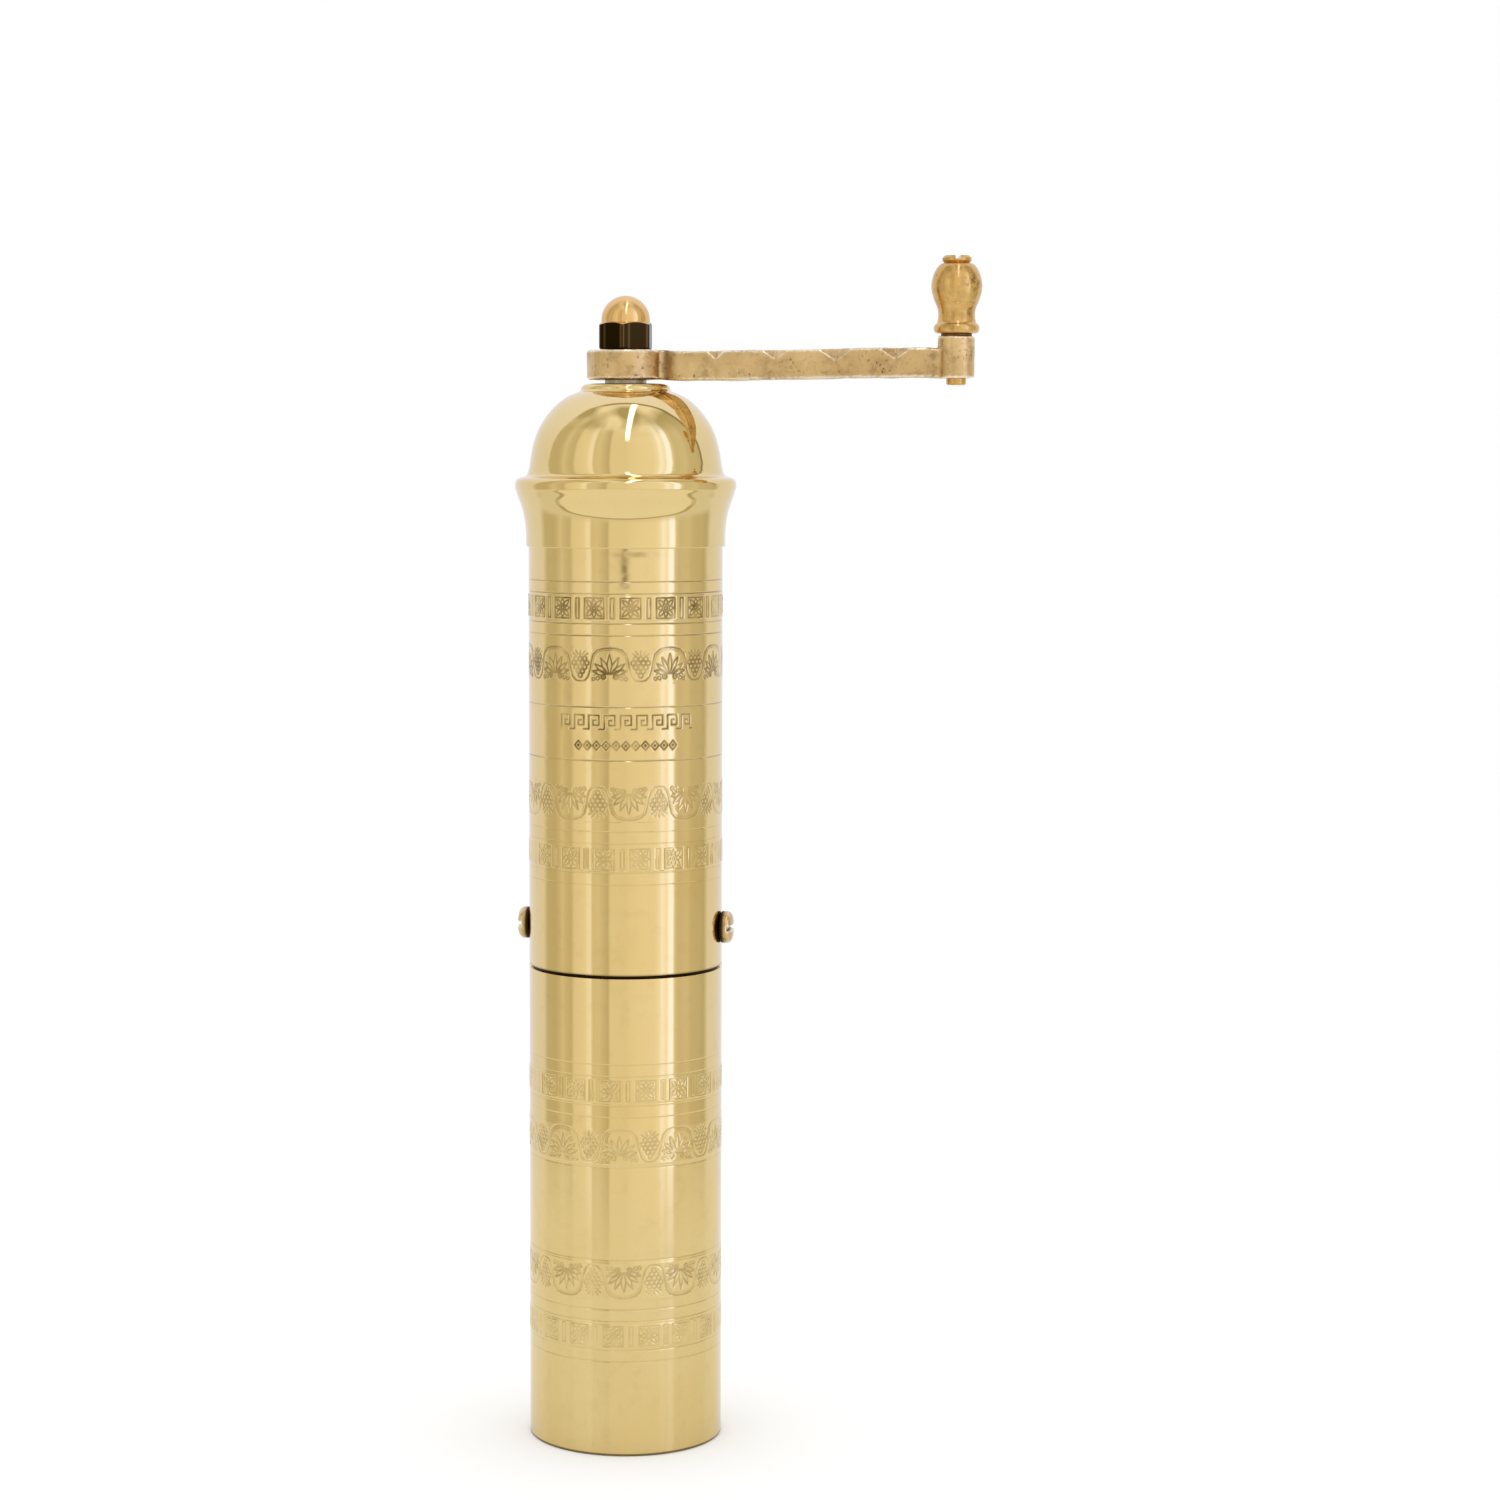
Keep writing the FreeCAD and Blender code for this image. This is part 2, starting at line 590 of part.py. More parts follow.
NODES = {
    "grounds_cup": grounds_cup,
    "cup_base_plate": cup_base_plate,
    "hopper_tube": hopper_tube,
    "coupling_sleeve": coupling_sleeve,
    "side_screws": side_screws,
    "burr_ring": burr_ring,
    "lower_bridge": lower_bridge,
    "bridge_screws": bridge_screws,
    "lock_nut": lock_nut,
    "guide_bridge": guide_bridge,
    "guide_bush": guide_bush,
    "spring_washer": spring_washer,
    "thrust_ball": thrust_ball,
    "adjusting_screw": adjusting_screw,
    "spindle": spindle,
    "male_burr": male_burr,
    "burr_nut": burr_nut,
    "burr_spring": burr_spring,
    "dome_lid": dome_lid,
    "lid_bush": lid_bush,
    "crank_arm": crank_arm,
    "knob_axle": knob_axle,
    "knob_washer": knob_washer,
    "cap_nut": cap_nut,
    "knob": knob,
}


def main():
    os.makedirs("parts", exist_ok=True)
    for name, make in NODES.items():
        shape = make()
        valid = shape.isValid() and all(s.isClosed() for s in shape.Solids)
        print(f"{name:16s} solids {len(shape.Solids)}  volume {shape.Volume:9.1f}  valid {valid}")
        shape.exportStep(f"parts/{name}.step")


main()
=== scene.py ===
"""Looks of the brass coffee mill: engraved tubes, spun lid, cast crank, turned knob, studio."""

import json
import math

import bpy
import numpy as np
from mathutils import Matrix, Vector, noise


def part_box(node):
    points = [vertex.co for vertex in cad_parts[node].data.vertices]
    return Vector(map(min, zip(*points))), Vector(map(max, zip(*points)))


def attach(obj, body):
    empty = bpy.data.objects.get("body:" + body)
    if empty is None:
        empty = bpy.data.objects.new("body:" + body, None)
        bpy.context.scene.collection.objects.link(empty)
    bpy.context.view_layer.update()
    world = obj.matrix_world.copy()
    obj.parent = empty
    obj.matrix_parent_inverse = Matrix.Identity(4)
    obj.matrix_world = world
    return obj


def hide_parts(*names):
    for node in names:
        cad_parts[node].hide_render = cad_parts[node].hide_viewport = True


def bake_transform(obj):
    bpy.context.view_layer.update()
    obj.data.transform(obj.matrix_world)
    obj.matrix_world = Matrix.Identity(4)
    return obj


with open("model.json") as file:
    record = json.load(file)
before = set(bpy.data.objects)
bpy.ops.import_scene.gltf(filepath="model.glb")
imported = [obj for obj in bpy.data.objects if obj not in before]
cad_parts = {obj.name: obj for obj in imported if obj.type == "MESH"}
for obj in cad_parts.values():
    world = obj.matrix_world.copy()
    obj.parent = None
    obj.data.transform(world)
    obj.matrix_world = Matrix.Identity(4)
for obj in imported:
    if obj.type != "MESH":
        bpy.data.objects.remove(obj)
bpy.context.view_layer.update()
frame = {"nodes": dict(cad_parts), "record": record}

MM = 0.001
SHARP = math.radians(48)            # an edge bent more than this is shaded as an edge
SCENE = bpy.context.scene
CAMERA_AZIMUTH = math.radians(10)   # round from the front, towards the crank


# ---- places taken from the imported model, in millimetres ------------------------------------------
def box_mm(node):
    """Lowest and highest corner of a CAD node."""
    low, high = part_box(node)
    return [c / MM for c in low], [c / MM for c in high]


CUP_LOW, CUP_HIGH = box_mm("grounds_cup")
HOP_LOW, HOP_HIGH = box_mm("hopper_tube")
LID_LOW, LID_HIGH = box_mm("dome_lid")
KNOB_LOW, KNOB_HIGH = box_mm("knob")
NUT_LOW, NUT_HIGH = box_mm("cap_nut")
SPRING_LOW, SPRING_HIGH = box_mm("burr_spring")
TUBE_R = HOP_HIGH[0]
TUBE_WALL = 1.2
KNOB_X = (KNOB_LOW[0] + KNOB_HIGH[0]) / 2

# ornament of the tubes: offsets are from the middle of a tube's engraved part
HOP_MID = 185.15
CUP_MID = 62.75
HOP_PANEL = 6.75                    # ring lines that bound the plain band in the middle
CUP_PANEL = 11.95
RING_OFFSETS = (24.75, 27.75, 35.25, 38.25)
FRIEZE_OFFSET = 17.45
ROSETTE_OFFSET = 31.65
PANEL_HALF = 5.6                    # half heights of the engraved bands
FRIEZE_HALF = 4.6
ROSETTE_HALF = 2.75
ARCHES = 10                         # cells of each band in a turn
ROSETTES = 17
COLUMNS = 850                       # of the tubes' meshes; divides into both ARCHES and ROSETTES
PITCH = 2 * math.pi * TUBE_R / COLUMNS
ANGLES = np.arange(COLUMNS) * 2 * math.pi / COLUMNS
FRONT = CAMERA_AZIMUTH - math.pi / 2
GROOVE_HALF = 0.27                  # half the width of a ring line
GROOVE_ROWS = (-0.45, -0.27, -0.13, 0.0, 0.13, 0.27, 0.45)
BAND_STEP = 0.185                   # between mesh rows in a band, and in a tarnish smear
SMEAR_STEP = 0.3
FRINGE = 0.5                        # how far the dense rows run on past either

# cap nut
NUT_FLATS = 13.0
NUT_HEX_H = 7.0
NUT_DOME_R = 6.25
NUT_BORE_R = 4.01
NUT_BORE_TOP, NUT_BORE_TIP = 291.2, 293.0
NUT_CORNER = -86.0                  # degrees round to the corner that faces forward


# ---- small helpers -------------------------------------------------------------------------------
def smooth_step(x, low, high):
    t = np.clip((x - low) / (high - low), 0.0, 1.0)
    return t * t * (3 - 2 * t)


def spline(points, per_span=8):
    """Points along a smooth curve through the given (r, z) points."""
    p = np.array(points, float)
    ends = np.vstack([2 * p[0] - p[1], p, 2 * p[-1] - p[-2]])
    out = []
    for i in range(len(p) - 1):
        a, b, c, d = ends[i:i + 4]
        for t in np.linspace(0, 1, per_span, endpoint=False):
            out.append(0.5 * (2 * b + (c - a) * t + (2 * a - 5 * b + 4 * c - d) * t ** 2
                              + (3 * b - a - 3 * c + d) * t ** 3))
    out.append(p[-1])
    return [tuple(q) for q in out]


def mesh_from_grid(name, grid, patina_and_shade=None):
    """A closed ring of quads from a (rows, columns, 3) grid in mm that joins up both ways."""
    rows, cols = grid.shape[:2]
    index = np.arange(rows * cols).reshape(rows, cols)
    up = np.roll(index, -1, axis=0)
    quads = np.stack([index, np.roll(index, -1, axis=1), np.roll(up, -1, axis=1), up], axis=-1)
    quads = quads.reshape(-1, 4)
    mesh = bpy.data.meshes.new(name)
    mesh.vertices.add(rows * cols)
    mesh.vertices.foreach_set("co", (grid * MM).astype(np.float32).ravel())
    mesh.loops.add(quads.size)
    mesh.loops.foreach_set("vertex_index", quads.astype(np.int32).ravel())
    mesh.polygons.add(len(quads))
    mesh.polygons.foreach_set("loop_start", np.arange(0, quads.size, 4, dtype=np.int32))
    mesh.update(calc_edges=True)
    mesh.validate()
    mesh.shade_smooth()
    mesh.set_sharp_from_angle(angle=SHARP)
    if patina_and_shade is not None:
        layer = mesh.attributes.new("patina_and_shade", "FLOAT", "POINT")
        layer.data.foreach_set("value", patina_and_shade.astype(np.float32).ravel())
    return mesh


def add_piece(name, mesh, body, material, replaced=(), across=None):
    """A piece that rides on a body; given across = (other body, start, end), it is only fixed where
    it stands and rides on no body, and the parts of across are not used.
    """
    piece = bpy.data.objects.new(name, mesh)
    SCENE.collection.objects.link(piece)
    mesh.materials.clear()
    mesh.materials.append(material)
    if across:
        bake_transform(piece)
    else:
        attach(piece, body)
    if replaced:
        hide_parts(*replaced)
    return piece


def lathe(profile, columns=256, x=0.0, wobble=0.0):
    """Grid of a closed outline of (r, z) points turned about the vertical line at x."""
    angles = np.arange(columns) * 2 * math.pi / columns
    p = np.array(profile)
    r = np.repeat(p[:, :1], columns, axis=1)
    z = np.repeat(p[:, 1:], columns, axis=1)
    r = r * (1 + wobble * (np.sin(3 * angles + 0.7) + 0.6 * np.sin(5 * angles + z * 0.9)))
    return np.stack([x + r * np.cos(angles), r * np.sin(angles), z], axis=-1)


# ---- ornament ------------------------------------------------------------------------------------
# Motifs are lists of (weight, polyline) strokes in millimetres, on one cell that repeats round.
def circle(x, y, r, sides=10):
    return [(x + r * math.cos(2 * math.pi * i / sides), y + r * math.sin(2 * math.pi * i / sides))
            for i in range(sides + 1)]


def leaf(x, y, heading, length, width, steps=6):
    """Outline of a pointed leaf that grows from (x, y) along heading."""
    c, s = math.cos(heading), math.sin(heading)
    side = []
    for i in range(steps + 1):
        t = i / steps
        side.append((t * length, width / 2 * math.sin(math.pi * t) * (1.25 - 0.5 * t)))
    loop = side + [(a, -b) for a, b in side[::-1]]
    return [(x + a * c - b * s, y + a * s + b * c) for a, b in loop]


def mirrored(strokes):
    return strokes + [(w, [(-x, y) for x, y in line]) for w, line in strokes]


def rosette_cell():
    """Square with an eight-petal flower, and half of the bar that stands between two squares."""
    s = 2.55
    strokes = [(1.0, [(-s, -s), (s, -s), (s, s), (-s, s), (-s, -s)]), (1.0, circle(0, 0, 0.42, 8))]
    for i in range(8):
        heading = i * math.pi / 4
        length = 1.55 if i % 2 == 0 else 2.15
        start = 0.72
        strokes.append((0.9, leaf(start * math.cos(heading), start * math.sin(heading), heading,
                                  length, 0.95)))
    strokes += mirrored([(0.9, [(4.72, -s), (4.17, -s), (4.17, s), (4.72, s)])])
    return strokes


def frieze_cell():
    """Arch with a palmette in it, and half of the bunch of grapes that hangs between two arches."""
    half = math.pi * TUBE_R / ARCHES
    arch = [(0, 4.3), (-1.5, 4.2), (-3.1, 3.75), (-4.25, 2.6), (-4.75, 0.8), (-5.05, -1.2),
            (-5.65, -3.0), (-6.6, -3.95), (-half - 0.2, -4.15)]
    lining = [(0, 3.8), (-1.4, 3.7), (-2.8, 3.3), (-3.8, 2.3), (-4.25, 0.7), (-4.5, -1.0)]
    strokes = mirrored([(0.9, arch), (0.45, lining)])
    for i in range(-3, 4):
        heading = math.radians(90 - 26 * i)
        length = 5.0 - 0.42 * abs(i)
        strokes.append((1.0, leaf(0.25 * i, -2.3, heading, length, 1.15)))
    strokes += mirrored([
        (1.0, circle(-1.55, -3.0, 0.6)), (0.8, circle(-1.55, -3.0, 0.2, 6)),
        (0.9, circle(-3.0, -3.35, 0.45)), (0.9, circle(-4.1, -3.55, 0.4)),
        (0.8, [(-3.9, -2.6), (-3.3, -1.9), (-3.5, -1.2)]),
    ])
    bunch = [(1.5, (-1.3, 0.0, 1.3)), (0.45, (-1.9, -0.65, 0.65, 1.9)), (-0.6, (-1.3, 0.0, 1.3)),
             (-1.65, (-0.65, 0.65)), (-2.7, (0.0,))]
    for y, offsets in bunch:
        for x in offsets:
            for edge in (-half, half):
                if abs(edge + x) < half + 0.8:
                    strokes.append((1.0, circle(edge + x, y, 0.56)))
    strokes += mirrored([
        (0.9, [(-half, 2.4), (-half, 3.6)]), (0.9, [(-half + 0.6, 2.5), (-half + 1.3, 3.4)]),
        (0.8, [(-half + 1.2, 2.3), (-half + 2.1, 2.8)]),
    ])
    return strokes


def panel_strokes():
    """A short meander over a row of lozenges, in the plain band of the hopper."""
    strokes = []
    step, tall = 4.1, 1.75
    for i in range(-4, 5):
        x = i * step
        key = [(-2.05, -tall), (-1.35, -tall), (-1.35, tall), (1.35, tall), (1.35, -0.75),
               (-0.2, -0.75), (-0.2, 0.5), (0.55, 0.5)]
        strokes.append((1.0, [(x + a, 3.0 + b) for a, b in key]))
        strokes.append((1.0, [(x + 1.35, 3.0 - tall), (x + 2.05, 3.0 - tall)]))
    for i in range(-5, 6):
        x = i * 2.5
        strokes.append((1.0, [(x - 1.05, -2.9), (x, -1.75), (x + 1.05, -2.9), (x, -4.05),
                              (x - 1.05, -2.9)]))
        strokes.append((1.0, circle(x, -2.9, 0.22, 6)))
    return strokes


def engrave(u, v, strokes, width=0.17):
    """How deep and how dark the strokes are at each (u, v), both 0 to 1."""
    depth = np.zeros(np.broadcast(u, v).shape)
    for weight, line in strokes:
        for (ax, ay), (bx, by) in zip(line[:-1], line[1:]):
            dx, dy = bx - ax, by - ay
            t = np.clip(((u - ax) * dx + (v - ay) * dy) / (dx * dx + dy * dy + 1e-9), 0, 1)
            gap = np.hypot(u - ax - t * dx, v - ay - t * dy)
            depth = np.maximum(depth, weight * (1 - smooth_step(gap, width * 0.45, width * 1.9)))
    return depth


def repeat_cell(strokes, v, count, centre_angle):
    """The engraving of one cell, repeated round the tube with a cell's middle at centre_angle."""
    per_cell = COLUMNS // count
    u = (np.arange(per_cell) - (per_cell - 1) / 2) * PITCH
    cell = engrave(u[None, :], v[:, None], strokes)
    full = np.tile(cell, (1, count))
    middle = (per_cell - 1) / 2
    shift = int(round((FRONT + centre_angle) / (2 * math.pi) * COLUMNS - middle))
    return np.roll(full, shift, axis=1)


def ripple(z, scale, seed):
    """Slow random swell over the tube, between about -1 and 1, that closes on itself."""
    rng = np.random.default_rng(seed)
    total = np.zeros((len(z), COLUMNS))
    for _ in range(14):
        turns = rng.integers(1, max(2, int(2 * math.pi * TUBE_R / scale)) + 1)
        rise = rng.uniform(-1, 1) * 2 * math.pi / scale
        total += np.sin(turns * ANGLES[None, :] + rise * z[:, None] + rng.uniform(0, 2 * math.pi))
    return total / 5.0


def tube_rows(z0, z1, rings, fine):
    """Heights of the mesh rows: dense at ring lines and in the fine stretches (low, high, step)."""
    rows = set(np.round(np.linspace(z0, z1, max(2, int((z1 - z0) / 2.2))), 4))
    for low, high, step in fine:
        rows = {z for z in rows if z < low or z > high}
        rows |= set(np.round(np.arange(low, high + 0.01, step), 4))
    for ring, _, _ in rings:
        near = [round(ring + d, 4) for d in GROOVE_ROWS if z0 <= ring + d <= z1]
        rows = {z for z in rows if abs(z - ring) > 0.55 or z in (z0, z1)}
        rows |= set(near)
    ends = {z0, round(z0 + 0.5, 4), round(z0 + 0.7, 4), round(z1 - 0.5, 4), z1}
    return np.array(sorted(rows | ends))


def cut_rings(z, rings, height, patina_and_shade):
    """Ring lines (height up the tube, depth, dark): V grooves of uneven wear with grime in them."""
    for ring, depth, dark in rings:
        line = np.clip(1 - np.abs(z - ring) / GROOVE_HALF, 0, 1)[:, None]
        worn = np.clip(0.75 + 0.3 * ripple(z, 18.0, int(ring * 10)), 0.25, 1.1)
        height -= depth * line * worn
        np.maximum(patina_and_shade, dark * line * worn, out=patina_and_shade)


def cut_bands(z, arc, bands, height, patina_and_shade, seed):
    """Engraved bands, rubbed away unevenly, each on a strip that stands a little proud."""
    for middle, half, count, angle, strokes, flipped, depth, dark, raised in bands:
        inside = np.abs(z - middle) <= half + FRINGE
        v = (z[inside] - middle) * (-1 if flipped else 1)
        if count:
            cut = repeat_cell(strokes, v, count, math.radians(angle))
        else:
            cut = engrave(arc[None, :], v[:, None], strokes)
        broad, small = ripple(z[inside], 14.0, seed + 7), ripple(z[inside], 3.5, seed + 9)
        worn = np.clip(0.78 + 0.3 * broad + 0.3 * small, 0.12, 1.2)
        height[inside] -= depth * cut * worn
        plateau = smooth_step(half + 0.35 - np.abs(z - middle), 0.0, 0.3)[:, None]
        height += raised * plateau
        height += 0.012 * plateau * ripple(z, 5.0, seed + 3)
        patina_and_shade[inside] = np.maximum(patina_and_shade[inside], dark * cut * worn)


def smear(z, arc, marks, patina_and_shade):
    """Blotchy tarnish with soft edges."""
    for degrees, half, low, high, dark in marks:
        across = np.exp(-((arc - math.radians(degrees) * TUBE_R) / half) ** 2)[None, :]
        along = smooth_step(z, low - 0.4, low + 0.4) * smooth_step(-z, -high - 0.4, -high + 0.4)
        blotch = np.clip(0.7 + 0.45 * ripple(z, 2.5, int(low * 10)), 0.1, 1.0)
        np.maximum(patina_and_shade, dark * across * along[:, None] * blotch, out=patina_and_shade)


def ease_end(outer, heights, patina_and_shade, upper, ease, chamfer_z):
    """Draws the end row in by ease, from a new row at chamfer_z, to break the tube's edge."""
    end, place = (-1, len(outer) - 1) if upper else (0, 1)
    outer[end] -= ease
    return (np.insert(outer, place, TUBE_R, axis=0),
            np.insert(heights, place, chamfer_z, axis=0),
            np.insert(patina_and_shade, place, patina_and_shade[end], axis=0))


def tube_piece(name, z0, z1, rings, bands, body, replaced, ends=(0.0, 0.0), seed=1, marks=(),
               rim=(0.0, 0.1)):
    """One length of engraved tube as a closed ring.

    rings are (height, depth, dark).
    bands are (middle, half height, count, centre angle, strokes, upside down, depth, dark, raised).
    ends are how far the lower and the upper edge are eased.
    marks are tarnish smears: (degrees round from the front, half width in mm, low z, high z, dark).
    rim is a painted shade along the lower edge, at a seam or where the tube stands: how dark it is,
    and how far up that reaches in mm.
    """
    fine = [(b[0] - b[1] - FRINGE, b[0] + b[1] + FRINGE, BAND_STEP) for b in bands]
    fine += [(m[2] - FRINGE, m[3] + FRINGE, SMEAR_STEP) for m in marks]
    z = tube_rows(z0, z1, rings, fine)
    arc = ((ANGLES - FRONT + math.pi) % (2 * math.pi) - math.pi) * TUBE_R
    height = 0.004 * ripple(z, 40.0, seed)
    patina_and_shade = np.zeros_like(height)
    cut_rings(z, rings, height, patina_and_shade)
    cut_bands(z, arc, bands, height, patina_and_shade, seed)
    smear(z, arc, marks, patina_and_shade)
    # painted shade along the lower edge (rim)
    edge = z < z0 + rim[1]
    patina_and_shade[edge] = np.maximum(patina_and_shade[edge], rim[0])
    outer = TUBE_R + height
    heights = np.repeat(z[:, None], COLUMNS, axis=1)
    low_ease, high_ease = ends
    if high_ease:
        outer, heights, patina_and_shade = ease_end(outer, heights, patina_and_shade, True, high_ease, z1 - high_ease)
    if low_ease:
        outer, heights, patina_and_shade = ease_end(outer, heights, patina_and_shade, False, low_ease, z0 + low_ease)
    row = np.ones((1, COLUMNS))
    r = np.vstack([outer, row * (TUBE_R - TUBE_WALL), row * (TUBE_R - TUBE_WALL)])
    zz = np.vstack([heights, row * z1, row * z0])
    dark = np.vstack([patina_and_shade, row * 0, row * 0])
    grid = np.stack([r * np.cos(ANGLES), r * np.sin(ANGLES), zz], axis=-1)
    mesh = mesh_from_grid(name, grid, dark)
    add_piece(name, mesh, body, TUBE_BRASS, replaced)


# ---- materials -----------------------------------------------------------------------------------
class Nodes:
    """Short way to lay out a material's nodes."""

    def __init__(self, tree):
        self.tree = tree

    def add(self, kind, inputs=(), **settings):
        node = self.tree.nodes.new("ShaderNode" + kind)
        for key, value in settings.items():
            setattr(node, key, value)
        for key, value in dict(inputs).items():
            socket = node.inputs[key]
            if isinstance(value, bpy.types.NodeSocket):
                self.tree.links.new(value, socket)
            else:
                socket.default_value = value
        return node

    def math(self, operation, a, b=0.0, clamp=False):
        return self.add("Math", {0: a, 1: b}, operation=operation, use_clamp=clamp).outputs[0]

    def mix(self, factor, a, b, blend="MIX"):
        node = self.add("Mix", data_type="RGBA", blend_type=blend)
        for key, value in ((0, factor), (6, a), (7, b)):
            if isinstance(value, bpy.types.NodeSocket):
                self.tree.links.new(value, node.inputs[key])
            else:
                node.inputs[key].default_value = value
        return node.outputs[2]

    def ramp(self, factor, low, high):
        return self.add("MapRange", {0: factor, 1: low, 2: high}).outputs[0]

    def noise(self, coords, scale, detail=3.0, stretch=(1, 1, 1), rough=0.5):
        spot = self.add("Mapping", {"Vector": coords, "Scale": stretch}).outputs[0]
        node = self.add("TexNoise", {"Vector": spot, "Scale": scale, "Detail": detail,
                                     "Roughness": rough})
        return node.outputs[0]


def metal(name, colour, warm, dark, rough=(0.08, 0.16), grain=(1, 1, 0.03), grain_scale=900.0,
          pits=0.0, specks=0.0, bump=0.02, tarnish=0.25, patina_and_shade_dark=0.85, bright=None,
          painted_shade_bands=(), turned=0.0):
    """Metal with cloudy colour, drawn or cast grain, tarnish specks, pits, and dark recesses that
    also carry painted shade.

    The worn-edge colour is rubbed brass, partly a painted highlight; the listed bands of height in
    mm, (low, high), are darkened as painted shade; and turned is how far the finish of a turned piece
    draws its highlights out along its axis.
    """
    material = bpy.data.materials.new(name)
    material.use_nodes = True
    tree = material.node_tree
    tree.nodes.clear()
    n = Nodes(tree)
    place = n.add("TexCoord").outputs["Object"]
    cloud = n.noise(place, 38.0, 4.0)
    fine = n.noise(place, 260.0, 5.0, rough=0.6)
    streak = n.noise(place, grain_scale, 2.0, stretch=grain)
    tint = n.mix(n.ramp(cloud, 0.38, 0.66), colour, warm)
    stain = n.math("MULTIPLY", n.ramp(fine, 0.52, 0.78), tarnish)
    tint = n.mix(stain, tint, dark)
    roughness = n.math("ADD", n.math("MULTIPLY", streak, rough[1] - rough[0]), rough[0])
    height = n.math("MULTIPLY", streak, 0.35)
    if specks:
        cells = n.add("TexVoronoi", {"Vector": place, "Scale": 520.0}).outputs["Distance"]
        patchy = n.ramp(n.noise(place, 90.0, 3.0), 0.5, 0.68)
        spot = n.math("MULTIPLY", n.math("SUBTRACT", 1.0, n.ramp(cells, 0.12, 0.34)), patchy)
        tint = n.mix(n.math("MULTIPLY", spot, specks), tint, dark)
    if pits:
        cells = n.noise(place, 1150.0, 2.0)
        patchy = n.ramp(n.noise(place, 130.0, 4.0), 0.42, 0.62)
        hole = n.math("MULTIPLY", n.ramp(cells, 0.60, 0.70), patchy)
        tint = n.mix(n.math("MULTIPLY", hole, pits), tint, dark)
        height = n.math("SUBTRACT", height, n.math("MULTIPLY", hole, 2.2))
        height = n.math("ADD", height, n.math("MULTIPLY", fine, 1.6))
        roughness = n.math("ADD", roughness, n.math("MULTIPLY", hole, 0.25))
    # worn edges take a paler colour: rubbed brass, partly a painted highlight
    if bright:
        rubbed = n.add("Attribute", attribute_name="worn").outputs["Fac"]
        tint = n.mix(rubbed, tint, bright)
        roughness = n.math("SUBTRACT", roughness, n.math("MULTIPLY", rubbed, 0.12))
    # this dark mark is tarnish in hollows and also painted shade: the tubes' lower rims, the crank's
    # hollows and notches, the screws' necks and the nut's flats
    recess_and_shade = n.add("Attribute", attribute_name="patina_and_shade").outputs["Fac"]
    recess_and_shade = n.math("MULTIPLY", recess_and_shade, patina_and_shade_dark, clamp=True)
    tall = n.add("SeparateXYZ", {0: place}).outputs[2]
    # bands of height darkened as painted shade
    for low, high in painted_shade_bands:
        inside = n.math("MULTIPLY", n.ramp(tall, (low - 0.15) * MM, (low + 0.15) * MM),
                        n.ramp(tall, (high + 0.15) * MM, (high - 0.15) * MM))
        recess_and_shade = n.math("MAXIMUM", recess_and_shade, inside)
    tint = n.mix(recess_and_shade, tint, dark)
    roughness = n.math("ADD", roughness, n.math("MULTIPLY", recess_and_shade, 0.22), clamp=True)
    lumps = n.add("Bump", {"Strength": 1.0, "Distance": bump * MM, "Height": height}).outputs[0]
    shader = n.add("BsdfPrincipled", {"Base Color": tint, "Metallic": 1.0, "Roughness": roughness,
                                      "Normal": lumps})
    if turned:
        shader.inputs["Anisotropic"].default_value = turned
        shader.inputs["Anisotropic Rotation"].default_value = 0.25
        around = n.add("Tangent", direction_type="RADIAL", axis="Z")
        tree.links.new(around.outputs[0], shader.inputs["Tangent"])
    n.add("OutputMaterial", {"Surface": shader.outputs[0]})
    return material


def rgb(r, g, b):
    return (r, g, b, 1.0)


TUBE_BRASS = metal("brass_tube_polished", rgb(0.80, 0.595, 0.262), rgb(0.79, 0.575, 0.235),
                   rgb(0.17, 0.105, 0.028), rough=(0.02, 0.07), tarnish=0.09, bump=0.014)
LID_BRASS = metal("brass_spun_mirror", rgb(0.80, 0.60, 0.26), rgb(0.79, 0.575, 0.235),
                  rgb(0.30, 0.17, 0.035), rough=(0.015, 0.045), grain=(0.05, 0.05, 1), tarnish=0.03,
                  bump=0.0015)
CAST_BRASS = metal("brass_cast_satin", rgb(0.78, 0.545, 0.255), rgb(0.57, 0.36, 0.15),
                   rgb(0.20, 0.11, 0.04), rough=(0.26, 0.38), grain=(1, 1, 1), pits=0.8,
                   bump=0.05, tarnish=0.6, bright=rgb(0.96, 0.83, 0.60))
KNOB_BRASS = metal("brass_knob_turned", rgb(0.74, 0.455, 0.155), rgb(0.60, 0.34, 0.09),
                   rgb(0.19, 0.095, 0.02), rough=(0.18, 0.27), grain=(0.05, 0.05, 1), specks=0.95,
                   bump=0.012, tarnish=0.6, turned=0.55)
NUT_BRASS = metal("brass_nut", rgb(0.84, 0.53, 0.20), rgb(0.71, 0.40, 0.12),
                  rgb(0.017, 0.0085, 0.0006), rough=(0.16, 0.24), tarnish=0.2, bump=0.006,
                  patina_and_shade_dark=1.0, turned=0.88)
SCREW_BRASS = metal("brass_screw", rgb(0.70, 0.47, 0.21), rgb(0.58, 0.36, 0.13),
                    rgb(0.035, 0.02, 0.008), rough=(0.18, 0.30), grain=(1, 1, 1), specks=0.6,
                    bump=0.02, tarnish=0.4, patina_and_shade_dark=1.0, bright=rgb(0.92, 0.78, 0.48))
PLAIN_BRASS = metal("brass_inside", rgb(0.62, 0.46, 0.22), rgb(0.55, 0.38, 0.16),
                    rgb(0.16, 0.10, 0.04), rough=(0.28, 0.42), tarnish=0.6, bump=0.01)
